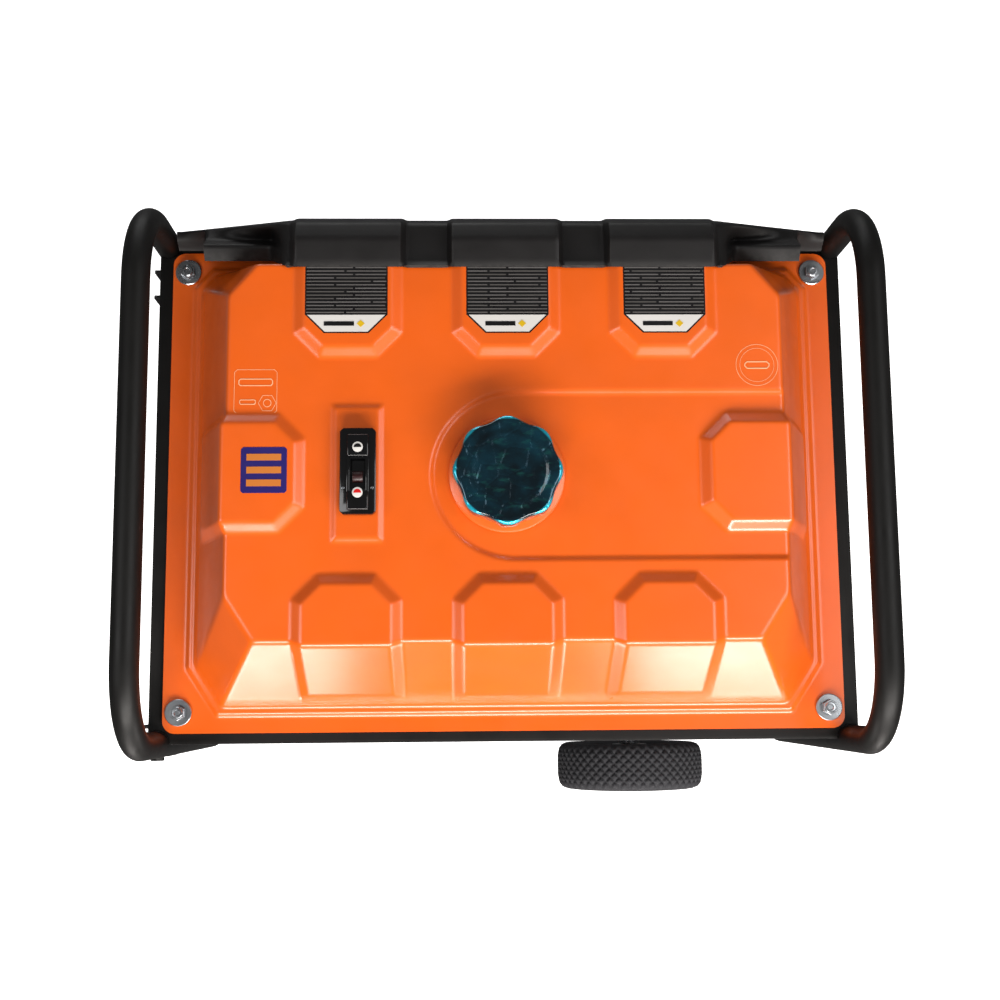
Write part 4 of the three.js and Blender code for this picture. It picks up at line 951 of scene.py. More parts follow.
    def blue_plate(self) -> None:
        """The dark-blue plate by the side pad, with three plain bars on it."""
        level = self.tank.rise + self.tank.pad_rise
        x0, x1, y0, y1, cut = 194.5, 235.0, -20.0, 21.0, 2.0
        edge = [(x0 + cut, y0), (x1 - cut, y0), (x1, y0 + cut), (x1, y1 - cut), (x1 - cut, y1),
                (x0 + cut, y1), (x0, y1 - cut), (x0, y0 + cut)]
        base = plate("label_blue_plate", self.outline(edge), self.level(level), self.thick)
        dress(base, LABEL_BLUE, Body.FRAME)
        for i in range(3):
            low = y0 + 6 + i * 11.5
            bar = [(x0 + 5, low), (x1 - 5, low), (x1 - 5, low + 6), (x0 + 5, low + 6)]
            mark = plate(f"label_blue_bar_{i + 1}", self.outline(bar), self.level(level, 1), self.thick)
            dress(mark, LABEL_ORANGE, Body.FRAME)

    def build(self) -> None:
        """Makes every sticker."""
        self.pad_plates()
        self.outlines()
        self.blue_plate()


@dataclass(frozen=True)
class FilmFinish(Finish):
    """Glossy blue protective film over chrome, creased, with a painted highlight: a bright cyan line along
    its bent edge.

    Attributes:
        crown: the height where the film bends down and the painted highlight runs, in metres in the frame.
        radius: the cap's radius there, in metres.
        centre: the cap's axis, X and Y in metres.
    """

    crown: float = 0.6
    radius: float = 0.047
    centre: tuple[float, float] = (0.0, 0.0)

    def mixed(self) -> bpy.types.Material:
        """Builds the film's creases and colours, with the painted highlight along its bent edge."""
        graph = Graph(self.name)
        x, y, z = graph.axes()
        off_x = graph.maths("SUBTRACT", x, self.centre[0])
        off_y = graph.maths("SUBTRACT", y, self.centre[1])
        square = graph.maths("ADD", graph.maths("MULTIPLY", off_x, off_x),
                             graph.maths("MULTIPLY", off_y, off_y))
        reach = graph.maths("SQRT", square)
        clouds = graph.noise(32, 4)
        deep = graph.mix(graph.spread(clouds, 0, 1, 0.38, 0.68), linear("021A24"), linear("083F50"))
        veil = graph.noise(70, 5, stretch=(1, 2.5, 1))
        streaked = graph.mix(graph.spread(veil, 0, 0.55, 0.55, 0.75), deep, linear("1F6A62"))
        # Painted highlight: a bright cyan line round the film's bent edge, masked by distance from the cap's
        # axis and by height under the crown.
        rim = graph.spread(reach, 0, 1, self.radius - 2.4 * MM, self.radius - 0.9 * MM)
        over = graph.spread(z, 0, 1, self.crown - 4.5 * MM, self.crown - 1.5 * MM)
        line = graph.maths("MULTIPLY", rim, over)
        with_painted_highlight = graph.mix(line, streaked, linear("24C4E0"))
        low = graph.spread(z, 1, 0, self.crown - 15 * MM, self.crown - 9 * MM)
        ragged = graph.maths("MULTIPLY", low, graph.spread(graph.noise(240, 4), 0, 1, 0.4, 0.6))
        fringe = graph.mix(graph.spread(graph.noise(190, 3), 0, 1, 0.42, 0.58), linear("5A6CA8"),
                           linear("D8CCD8"))
        colour = graph.mix(ragged, with_painted_highlight, fringe)
        graph.join(colour, graph.shader.inputs["Base Color"])
        graph.join(graph.spread(graph.noise(60, 4), 0.1, 0.26), graph.shader.inputs["Roughness"])
        creases = graph.add("ShaderNodeTexVoronoi", feature="DISTANCE_TO_EDGE")
        creases.inputs["Scale"].default_value = 62.0
        graph.join(graph.place, creases.inputs["Vector"])
        folded = graph.bump(graph.spread(creases.outputs["Distance"], 0, 1, 0, 0.09), 0.25)
        wavy = graph.bump(graph.noise(48, 4), 1.3, folded)
        graph.join(wavy, graph.shader.inputs["Normal"])
        graph.shader.inputs["Metallic"].default_value = 0.55
        graph.shader.inputs["Coat Weight"].default_value = 0.9
        graph.shader.inputs["Coat Roughness"].default_value = 0.06
        return graph.material


@dataclass
class FuelCap:
    """The lobed filler cap in its protective film, over its collar, neck and strainer.

    Attributes:
        lobes: lobes round the rim.
        lobe: how far a lobe stands out, in millimetres.
        sides: points round the rim.
    """

    lobes: int = 8
    lobe: float = 1.8
    sides: int = 192

    def __post_init__(self) -> None:
        """Takes the cap's place and size from the frame."""
        low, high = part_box("fuel_cap")
        self.low, self.high = low.z, high.z
        self.x = (low.x + high.x) / 2
        self.y = (low.y + high.y) / 2
        self.radius = (high.x - low.x) / 2 - self.lobe * MM

    def lobed(self, name: str, rings: Sequence[tuple[float, float, float]]) -> Piece:
        """A cap-shaped solid: rings are drawn up from a circle, then its rim is waved.

        Args:
            name: the piece's name.
            rings: radius and height in metres and the share of a full lobe, from below to the middle.

        Returns:
            The open-bottomed cap.
        """
        first_radius, first_height, _ = rings[0]
        bpy.ops.object.select_all(action="DESELECT")
        bpy.ops.mesh.primitive_circle_add(vertices=self.sides, radius=first_radius,
                                          location=(self.x, self.y, first_height))
        piece = settle(bpy.context.object, name)
        with editing(piece):
            for (before, height, _), (radius, level, _) in zip(rings, rings[1:]):
                bpy.ops.mesh.extrude_region_move(TRANSFORM_OT_translate={"value": (0, 0, level - height)})
                share = radius / before
                bpy.ops.transform.resize(value=(share, share, 1), center_override=(self.x, self.y, level))
            bpy.ops.mesh.edge_face_add()
            bpy.ops.mesh.select_all(action="SELECT")
            bpy.ops.mesh.normals_make_consistent(inside=False)
        heights = [height for _, height, _ in rings]
        for vertex in piece.data.vertices:
            off = Vector((vertex.co.x - self.x, vertex.co.y - self.y))
            reach = off.length
            if reach < 1e-6:
                continue
            nearest = min(range(len(rings)),
                          key=lambda i: abs(rings[i][0] - reach) + abs(heights[i] - vertex.co.z))
            angle = math.atan2(off.y, off.x)
            wave = self.lobe * MM * rings[nearest][2] * math.cos(self.lobes * angle)
            vertex.co.x += off.x / reach * wave
            vertex.co.y += off.y / reach * wave
        return piece

    def cap(self) -> Piece:
        """The pressed cap with its raised ring, in bare chrome where the film has split."""
        r, top = self.radius, self.high - 0.7 * MM
        rings = [(r - 4 * MM, self.low + 0.4 * MM, 1.0), (r - 1.2 * MM, self.low + 0.4 * MM, 1.0),
                 (r - 0.6 * MM, self.low + 1.2 * MM, 1.0), (r - 0.6 * MM, top - 4 * MM, 1.0),
                 (r - 1.2 * MM, top - 2 * MM, 1.0), (r - 3 * MM, top - 0.4 * MM, 0.9),
                 (r - 6 * MM, top - 0.9 * MM, 0.6), (r * 0.76, top - 1.6 * MM, 0.0),
                 (r * 0.72, top - 0.4 * MM, 0.0), (r * 0.66, top - 0.4 * MM, 0.0),
                 (r * 0.62, top - 1.4 * MM, 0.0), (r * 0.3, top - 1.2 * MM, 0.0),
                 (r * 0.05, top - 1.0 * MM, 0.0)]
        piece = smooth(self.lobed("filler_cap", rings), 40)
        return dress(piece, Finish("chrome_plate", "C9CED2", 0.12, metallic=1.0, grain=400, relief=0.004),
                     Body.CAP, ["fuel_cap"])

    def film(self) -> Piece:
        """The creased film that is still on the cap, torn along its lower edge."""
        r, top = self.radius, self.high
        rings = [(r + 0.1 * MM, top - 15.5 * MM, 1.0), (r + 0.2 * MM, top - 13 * MM, 1.0),
                 (r + 0.1 * MM, top - 10 * MM, 1.0), (r, top - 6 * MM, 1.0),
                 (r - 0.2 * MM, top - 3.5 * MM, 1.0),
                 (r - 1.2 * MM, top - 1.2 * MM, 1.0), (r - 3 * MM, top - 0.15 * MM, 0.9),
                 (r - 6 * MM, top - 0.5 * MM, 0.6), (r * 0.80, top - 1.0 * MM, 0.2),
                 (r * 0.75, top - 0.9 * MM, 0.0), (r * 0.71, top - 0.1 * MM, 0.0),
                 (r * 0.66, top - 0.1 * MM, 0.0), (r * 0.61, top - 0.9 * MM, 0.0),
                 (r * 0.5, top - 0.8 * MM, 0.0), (r * 0.36, top - 0.7 * MM, 0.0),
                 (r * 0.2, top - 0.6 * MM, 0.0), (r * 0.05, top - 0.6 * MM, 0.0)]
        piece = self.lobed("filler_cap_film", rings)
        random = np.random.default_rng(4)
        phases = random.uniform(0, 2 * math.pi, 9)
        for vertex in piece.data.vertices:
            off = Vector((vertex.co.x - self.x, vertex.co.y - self.y))
            angle = math.atan2(off.y, off.x)
            depth = (top - vertex.co.z) / MM
            if depth > 9:
                tear = sum(math.sin((3 + 4 * i) * angle + phase) / (1 + 0.5 * i)
                           for i, phase in enumerate(phases))
                vertex.co.z += 1.1 * MM * tear * (depth - 9) / 6.5
                push = 0.5 * MM * math.sin(23 * angle + phases[0]) * (depth - 9) / 6.5
                vertex.co.x += math.cos(angle) * push
                vertex.co.y += math.sin(angle) * push
        smooth(piece, 60)
        finish = FilmFinish("blue_film", "0B4A5A", 0.2, crown=top, radius=r, centre=(self.x, self.y))
        return dress(piece, finish, Body.CAP)

    def neck(self) -> None:
        """The painted collar, the strainer and the gasket."""
        low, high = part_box("filler_neck")
        centre = (self.x, self.y, 0)
        base, tip = high.z / MM - 11, high.z / MM
        profile = [(35.8, base - 22), (35.8, base), (51, base), (52, base + 1), (51.6, base + 3.4),
                   (50, base + 4.3), (41, base + 5), (38.4, base + 6), (38, tip - 0.8), (37.2, tip),
                   (34.6, tip), (34, tip - 0.6), (34, base - 22), (35.8, base - 22)]
        collar = turned("filler_collar", profile, Axis.Z, centre, 96)
        dress(collar, TANK_PAINT, Body.FRAME, ["filler_neck"])
        low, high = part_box("fuel_strainer")
        floor, brim = low.z / MM, high.z / MM
        cup = [(0, floor), (28.5, floor), (29.5, floor + 1), (32.3, brim - 1.5), (33.2, brim - 1.2),
               (33.2, brim), (31, brim), (28, floor + 2.4), (0, floor + 2)]
        basket = turned("strainer_basket", cup, Axis.Z, centre, 64)
        dress(basket, STRAINER, Body.FRAME, ["fuel_strainer"])
        gasket = rounded(copied("cap_gasket", "cap_sealing_ring"), 0.6, 2)
        dress(gasket, BLACK_RUBBER, Body.CAP_SEAL, ["cap_gasket"])

    def build(self) -> None:
        """Makes the cap, its film and the neck below it."""
        self.cap()
        self.film()
        self.neck()


@dataclass
class FuelGauge:
    """The glossy gauge on its plinth: body, rails, sight slot, and an icon disc at each end.

    Attributes:
        disc_y: Y of the front and the rear disc from the gauge's middle, in millimetres.
        disc_radius: of a disc in millimetres.
    """

    disc_y: tuple[float, float] = (-21.0, 19.5)
    disc_radius: float = 4.6

    def build(self) -> None:
        """Makes the gauge's pieces over its float."""
        low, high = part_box("gauge_housing")
        top = high.z
        deck = top - 3.2 * MM
        x, y = (low.x + high.x) / 2, (low.y + high.y) / 2
        half_x, half_y = (high.x - low.x) / 2, (high.y - low.y) / 2
        cut = 3 * MM
        left, right, near_edge, far_edge = x - half_x, x + half_x, y - half_y, y + half_y
        edge = [(left + cut, near_edge), (right - cut, near_edge), (right, near_edge + cut),
                (right, far_edge - cut), (right - cut, far_edge),
                (left + cut, far_edge), (left, far_edge - cut), (left, near_edge + cut)]
        deep = (deck - (top - 11.5 * MM)) / MM
        slot_x, slot_low, slot_high = 6.3 * MM, y - 11 * MM, y + 15 * MM
        body = plate("gauge_body", edge, top - 11.5 * MM, deep, 1.0)
        cutter = block("gauge_slot_cutter", (x - slot_x, slot_low, top - 30 * MM),
                       (x + slot_x, slot_high, top), 0)
        carve = body.modifiers.new("slot", "BOOLEAN")
        carve.object = cutter
        carve.operation = "DIFFERENCE"
        apply_modifiers(body)
        bpy.data.objects.remove(cutter)
        smooth(body)
        dress(body, GLOSS_BLACK, Body.FRAME, ["gauge_housing"])
        for end, near, far in (("front", -half_y + 6 * MM, -13 * MM), ("rear", 17 * MM, half_y - 4 * MM)):
            rise = block(f"gauge_rise_{end}", (x - 9.5 * MM, y + near, deck - 1 * MM),
                         (x + 9.5 * MM, y + far, top - 0.6 * MM), 1.2, 3)
            dress(rise, GLOSS_BLACK, Body.FRAME)
        pane = block("gauge_window", (x - slot_x - 0.4 * MM, slot_low - 0.4 * MM, deck - 4.2 * MM),
                     (x + slot_x + 0.4 * MM, slot_high + 0.4 * MM, deck - 3.2 * MM), 0.2)
        dress(pane, GLOSS_BLACK, Body.FRAME)
        for side in (-1, 1):
            bar = block(f"gauge_rail_{'left' if side > 0 else 'right'}",
                        (x + side * 8.4 * MM - 1.3 * MM, y - 15 * MM, deck - 1 * MM),
                        (x + side * 8.4 * MM + 1.3 * MM, y + 19 * MM, top - 1.2 * MM), 0.6)
            dress(bar, GLOSS_BLACK, Body.FRAME)
            ear = rod(f"gauge_ear_{'left' if side > 0 else 'right'}", 1.3,
                      (x + side * 12.8 * MM, y + 15 * MM, deck - 1 * MM),
                      (x + side * 12.8 * MM, y + 15 * MM, deck + 0.7 * MM), 0.3, 20)
            dress(ear, ZINC, Body.FRAME)
        for end, offset in zip(("front", "rear"), self.disc_y):
            centre = Vector((x, y + offset * MM, top - 0.6 * MM))
            white = turned(f"gauge_disc_{end}", [(0, 0), (self.disc_radius, 0), (self.disc_radius, 0.35),
                                                 (self.disc_radius - 0.4, 0.5), (0, 0.5)], Axis.Z, centre, 40)
            dress(white, LABEL_WHITE, Body.FRAME)
            radius = (self.disc_radius - 1.2) * MM
            arc = [math.pi * (1 + i / 16) for i in range(17)]
            half = [(centre.x + radius * math.cos(a), centre.y + 0.4 * MM + radius * math.sin(a))
                    for a in arc]
            ink = plate(f"gauge_mark_{end}", half, centre.z + 0.5 * MM, 0.15)
            dress(ink, CLEAR_RED if end == "rear" else LABEL_BLACK, Body.FRAME)
        drum = rounded(copied("gauge_pointer", "gauge_drum"), 0.3)
        dress(drum, DRUM_RED, "gauge_needle", ["gauge_pointer"])
        float_ = rounded(copied("fuel_float", "tank_float"), 0.8)
        dress(float_, SOCKET_GREY, "float", ["fuel_float"])


@dataclass
class TankBolts:
    """Zinc bolts with wide washers at the flange's corners.

    Attributes:
        across: across the flats of a head in millimetres.
        head: height of a head.
        washer: radius of a washer.
    """

    across: float = 13.0
    head: float = 5.3
    washer: float = 12.5

    def build(self) -> None:
        """Makes each bolt with its washer and a round dip in its head."""
        for name in ("rear_right", "rear_left", "front_left", "front_right"):
            node = f"tank_bolt_{name}"
            low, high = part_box(node)
            x, y, top = (low.x + high.x) / 2, (low.y + high.y) / 2, high.z
            base = top - (self.head + 2) * MM
            ring = turned(f"tank_washer_{name}", [(4.2, 0), (self.washer - 0.5, 0), (self.washer, 0.5),
                                                  (self.washer, 1.5), (self.washer - 0.6, 2), (8.4, 2.0),
                                                  (4.2, 2.0), (4.2, 0)], Axis.Z, (x, y, base), 64)
            head = hexagon(f"tank_hex_{name}", self.across, (x, y, base + 2 * MM), (x, y, top - 0.8 * MM))
            crown = turned(f"tank_crown_{name}",
                           [(0, 0), (5.4, 0), (4.6, 0.7), (3.0, 0.8), (2.4, 0.1), (0, -0.4)],
                           Axis.Z, (x, y, top - 0.85 * MM), 40)
            shank = rod(f"tank_shank_{name}", 4, (x, y, low.z), (x, y, base), 0.5, 24)
            piece = joined(f"tank_bolt_set_{name}", [ring, head, crown, shank])
            dress(piece, ZINC, Body.FRAME, [node])


# ---------------------------------------------------------------- hood over the panel
@dataclass
class Hood:
    """The moulded hood: it climbs from the panel over three bumps and tapers to its ends.

    Attributes:
        half: half length of the hood.
        pitch: spacing of its mesh along X.
        wall: thickness of the moulding.
        soft: width over which one section changes into the next.
        bump: the outline over a bump, as Y and height.
        dip: the outline between two bumps.
        shoulder: the outline beside the last bump.
        low: the outline at the ends.
    """

    tank: TankShell
    half: float = 312.0
    pitch: float = 2.2
    wall: float = 2.8
    soft: float = 5.5
    bump: Sequence[Point] = ((-246.0, 5), (-237.5, 87), (-226, 108),
                             (-209, 114.5), (-189.5, 110), (-184.5, 107.5))
    dip: Sequence[Point] = ((-246.0, 5), (-236.0, 86), (-229, 96),
                            (-207, 99.5), (-191, 102.5), (-186.5, 105.5))
    shoulder: Sequence[Point] = ((-246.0, 5), (-243.5, 44), (-237, 56), (-226, 58), (-217, 71), (-204.5, 62))
    low: Sequence[Point] = ((-246.0, 5), (-245, 28), (-243, 32), (-236, 30), (-231, 22), (-228.5, 19))

    def section(self, x: float) -> np.ndarray:
        """The hood's outline at a place along X, as Y and height in millimetres."""
        blocks = np.array([self.bump, self.dip, self.shoulder, self.low], float)
        tank = self.tank
        off = min(abs(x - place * tank.pad_pitch) for place in (-1, 0, 1))
        raised = float(eased(np.array((tank.pad_half + 4 - off) / self.soft)))
        ends = tank.pad_pitch + tank.pad_half + 6
        out = abs(x)
        inner = blocks[0] * raised + blocks[1] * (1 - raised)
        climb = min(max((out - ends) / (self.half - 5 - ends), 0), 1)
        to_shoulder = float(eased(np.array((out - ends) / 22)))
        to_low = float(eased(np.array((out - 280) / 4)))
        behind = (inner * (1 - to_shoulder) + blocks[2] * to_shoulder) * (1 - to_low) + blocks[3] * to_low
        outline = inner * (1 - climb) + blocks[3] * climb
        outline[3:] = behind[3:]
        return outline

    def build(self) -> None:
        """Moulds the hood as a grid, thickens it and cuts it round the frame's legs."""
        columns = round(2 * self.half / self.pitch)
        across = len(rounded_profile(self.section(0), 4, 4))
        bpy.ops.object.select_all(action="DESELECT")
        bpy.ops.mesh.primitive_grid_add(x_subdivisions=columns, y_subdivisions=across - 1, size=2)
        piece = settle(bpy.context.object, "hood_moulding")
        step = 2 / columns
        outlines = [rounded_profile(self.section((-1 + i * step) * self.half), 4, 4)
                    for i in range(columns + 1)]
        base_x, base_y, base_z = self.tank.middle_x, self.tank.middle_y, self.tank.flange_top
        for vertex in piece.data.vertices:
            column = round((vertex.co.x + 1) / step)
            row = round((vertex.co.y + 1) / 2 * (across - 1))
            y, z = outlines[column][row]
            vertex.co = (base_x + (-1 + column * step) * self.half * MM, base_y + y * MM, base_z + z * MM)
        thick = piece.modifiers.new("wall", "SOLIDIFY")
        thick.thickness = self.wall * MM
        thick.offset = -1
        apply_modifiers(piece)
        with editing(piece, "FACE"):
            bpy.ops.mesh.normals_make_consistent(inside=False)
        for node in ("hoop_wheel_end", "hoop_handle_end"):
            leg = middle(node)
            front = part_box(node)[0].y + 12.7 * MM
            cutter = rod("hood_leg_cutter", 15.2, (leg.x, front, 0.45), (leg.x, front, 0.65), 0, 48)
            carve = piece.modifiers.new("leg", "BOOLEAN")
            carve.object = cutter
            apply_modifiers(piece)
            bpy.data.objects.remove(cutter)
        smooth(piece, 40)
        dress(piece, MOULDED_BLACK, Body.FRAME, ["panel_hood"])


# ---------------------------------------------------------------- tube frame
@dataclass
class TubeFrame:
    """The bent hoops, tank rails, base rails, cross members, mounts and feet.

    Attributes:
        tube: the tube's radius in millimetres.
        bend: radius of its bends, to the middle of the tube.
        bend_steps: faces along a bend.
        sides: faces round the tube.
    """

    tube: float = 12.7
    bend: float = 72.0
    bend_steps: int = 20
    sides: int = 36

    def hoop(self, node: str, name: str) -> Piece:
        """A closed hoop: a circle is drawn along each leg and spun round each bend."""
        low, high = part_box(node)
        x = (low.x + high.x) / 2
        radius, bend = self.tube * MM, self.bend * MM
        leg_y = (high.y - low.y) / 2 - radius
        mid_y = (high.y + low.y) / 2
        top, bottom = high.z - radius, HOOP_BOTTOM + radius
        bpy.ops.object.select_all(action="DESELECT")
        bpy.ops.mesh.primitive_circle_add(vertices=self.sides, radius=radius,
                                          location=(x, mid_y + leg_y, bottom + bend))
        piece = settle(bpy.context.object, name)
        straight_z, straight_y = top - bottom - 2 * bend, 2 * (leg_y - bend)
        runs = [(0, 0, straight_z), (0, -straight_y, 0), (0, 0, -straight_z), (0, straight_y, 0)]
        centres = [(mid_y + leg_y - bend, top - bend), (mid_y - leg_y + bend, top - bend),
                   (mid_y - leg_y + bend, bottom + bend), (mid_y + leg_y - bend, bottom + bend)]
        with editing(piece):
            for run, (y, z) in zip(runs, centres):
                bpy.ops.mesh.extrude_region_move(TRANSFORM_OT_translate={"value": run})
                bpy.ops.mesh.spin(steps=self.bend_steps, angle=math.pi / 2, center=(x, y, z), axis=(-1, 0, 0))
            bpy.ops.mesh.select_all(action="SELECT")
            bpy.ops.mesh.remove_doubles(threshold=0.05 * MM)
            bpy.ops.mesh.normals_make_consistent(inside=False)
        return smooth(piece, 60)

    def hoops(self) -> None:
        """Both hoops, the one at the handle end with its foot posts."""
        wheel_end = self.hoop("hoop_wheel_end", "frame_hoop_wheel_end")
        dress(wheel_end, FRAME_PAINT, Body.FRAME, ["hoop_wheel_end"])
        handle_end = self.hoop("hoop_handle_end", "frame_hoop_handle_end")
        pieces = [handle_end]
        for side in ("front", "rear"):
            foot = middle(f"rubber_foot_{side}")
            post = rod(f"post_{side}", 10, (foot.x, foot.y, 28 * MM),
                       (foot.x, foot.y, HOOP_BOTTOM + 5 * MM), 1)
            weld = turned(f"weld_{side}", [(10, -6), (13, -3), (14, 0), (10, 1)], Axis.Z,
                          (foot.x, foot.y, HOOP_BOTTOM + 1 * MM), 32)
            pieces += [post, weld]
        dress(joined("frame_hoop_handle_end", pieces), FRAME_PAINT, Body.FRAME,
              ["hoop_handle_end"])

    def rails(self) -> None:
        """The angle rails round the tank, the base rails and the cross members."""
        for node, name, width in (("tank_rail_frame", "tank_rails", 0.9),
                                  ("base_rail_front", "base_tube_front", 0.6),
                                  ("base_rail_rear", "base_tube_rear", 0.6),
                                  ("cross_member_engine", "cross_channel_engine", 0.8),
                                  ("cross_member_alternator", "cross_channel_alternator", 0.8)):
            piece = rounded(copied(node, name), width, 2)
            dress(piece, FRAME_PAINT, Body.FRAME, [node])

    def mounts(self) -> None:
        """Rubber bobbins with their washers, and the two rubber feet."""
        for spot in ("engine_front", "engine_rear", "alternator_front", "alternator_rear"):
            node = f"vibration_mount_{spot}"
            low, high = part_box(node)
            centre = middle(node)
            height = (high.z - low.z) / MM
            profile = [(0, 0), (19.5, 0), (20, 0.6), (20, 3.4), (19, 4.2), (16.5, 7), (15.6, height / 2),
                       (16.5, height - 7), (19, height - 4.2), (20, height - 3.4), (20, height - 0.6),
                       (19.5, height), (0, height)]
            bobbin = turned(f"bobbin_{spot}", profile, Axis.Z, (centre.x, centre.y, low.z), 48)
            dress(bobbin, BLACK_RUBBER, Body.FRAME, [node])
        for side in ("front", "rear"):
            node = f"rubber_foot_{side}"
            low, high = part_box(node)
            centre = middle(node)
            height = (high.z - low.z) / MM
            profile = [(0, 0), (18, 0), (20, 0.8), (21.8, 3), (21.4, 8), (19.4, 10), (20.6, 12), (19.6, 20),
                       (18.2, 22), (18.9, 24), (17.6, height - 3), (16, height),
                       (10.6, height), (10.4, 28), (0, 28)]
            foot = turned(f"foot_{side}", profile, Axis.Z, (centre.x, centre.y, low.z), 56)
            dress(foot, BLACK_RUBBER, Body.FRAME, [node])

    def build(self) -> None:
        """Makes the whole frame."""
        self.hoops()
        self.rails()
        self.mounts()


HOOP_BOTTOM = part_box("hoop_wheel_end")[0].z


# ---------------------------------------------------------------- wheels
@dataclass
class Wheels:
    """Two solid-rubber wheels with a knurled tread on grey rims, on one axle.

    Attributes:
        around: diamonds round the tread.
        fine: mesh steps to a diamond.
        groove: depth of the grooves between the diamonds.
    """

    around: int = 48
    fine: int = 10
    groove: float = 2.6

    def tyre(self, side: str) -> Piece:
        """One tyre: its section is spun round, then the tread is pressed in."""
        node = f"tyre_{side}"
        low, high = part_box(node)
        centre = middle(node)
        radius, half = (high.z - low.z) / 2 / MM, (high.y - low.y) / 2 / MM
        tread = radius - 0.2
        wall = [(52, -half + 8), (54, -half + 4.5), (58, -half + 2), (66, -half + 0.3), (tread - 10, -half),
                (tread - 5, -half + 2), (tread - 2.2, -half + 5.5)]
        steps = 34
        flat = [(tread - 1.6 * abs(t) ** 4, t * (half - 8)) for t in np.linspace(-1, 1, steps)]
        back = [(r, -h) for r, h in reversed(wall)]
        profile = [*wall, *flat, *back, (52, -half + 8)]
        piece = turned(f"tyre_tread_{side}", profile, Axis.Y, centre, self.around * self.fine, 60)
        spots = np.zeros(len(piece.data.vertices) * 3)
        piece.data.vertices.foreach_get("co", spots)
        spots = spots.reshape(-1, 3) - np.array(centre)
        reach = np.hypot(spots[:, 0], spots[:, 2])
        angle = np.arctan2(spots[:, 2], spots[:, 0])
        pitch = 2 * math.pi * radius * MM / self.around * 0.9
        one = np.mod(angle / (2 * math.pi) * self.around + spots[:, 1] / pitch, 1)
        two = np.mod(angle / (2 * math.pi) * self.around - spots[:, 1] / pitch, 1)
        near = np.minimum(0.5 - np.abs(one - 0.5), 0.5 - np.abs(two - 0.5))
        block_height = eased((near - 0.05) / 0.2)
        on_tread = eased((reach / MM - (radius - 9)) / 5)
        sunk = 1 - self.groove * MM * (1 - block_height) * on_tread / np.maximum(reach, 1e-6)
        spots[:, 0] *= sunk
        spots[:, 2] *= sunk
        spots += np.array(centre)
        piece.data.vertices.foreach_set("co", spots.ravel())
        piece.data.update()
        return piece

    def rim(self, side: str) -> Piece:
        """One rim: a dished disc with a hub and a lip."""
        node = f"wheel_rim_{side}"
        low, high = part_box(node)
        centre = middle(node)
        half = (high.y - low.y) / 2 / MM
        out = -1 if side == "front" else 1
        profile = [(8.5, -half), (20.5, -half), (22, -half + 1.5), (22, -9), (24, -7.5), (42, -4), (44, -6),
                   (45.5, -half + 7), (47, -half + 5.6), (51.5, -half + 5.5), (51.7, half - 5.5),
                   (47, half - 5.6), (45.5, half - 7), (44, 6), (42, 4), (24, 7.5), (22, 9), (22, half - 1.5),
                   (20.5, half), (8.5, half), (8.5, -half)]
        profile = [(r, out * h) for r, h in profile]
        return turned(f"rim_disc_{side}", profile, Axis.Y, centre, 96)

    def build(self) -> None:
        """Makes both wheels and the axle."""
        for side, body in (("front", Body.WHEEL_FRONT), ("rear", Body.WHEEL_REAR)):
            dress(self.tyre(side), TYRE_RUBBER, body, [f"tyre_{side}"])
            dress(self.rim(side), RIM_GREY, body, [f"wheel_rim_{side}"])
        axle = rounded(copied("wheel_axle", "axle_shaft"), 0.6)
        dress(axle, ZINC, Body.FRAME, ["wheel_axle"])


# ---------------------------------------------------------------- pieces kept close to the frame's shape
@dataclass(frozen=True)
class Refined:
    """A frame node that is copied, given rounded edges and finished.

    Attributes:
        node: the frame node.
        name: the finished piece's name.
        finish: its finish.
        slot: a slot name, which is not used.
        rounding: of its edges in millimetres.
    """

    node: str
    name: str
    finish: Finish
    slot: str
    rounding: float = 0.8

    def build(self) -> Piece:
        """Makes the piece on the node's own body."""
        piece = rounded(copied(self.node, self.name), self.rounding, 2)
        body = frame["nodes"][self.node]["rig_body"]
        return dress(piece, self.finish, body, [self.node])


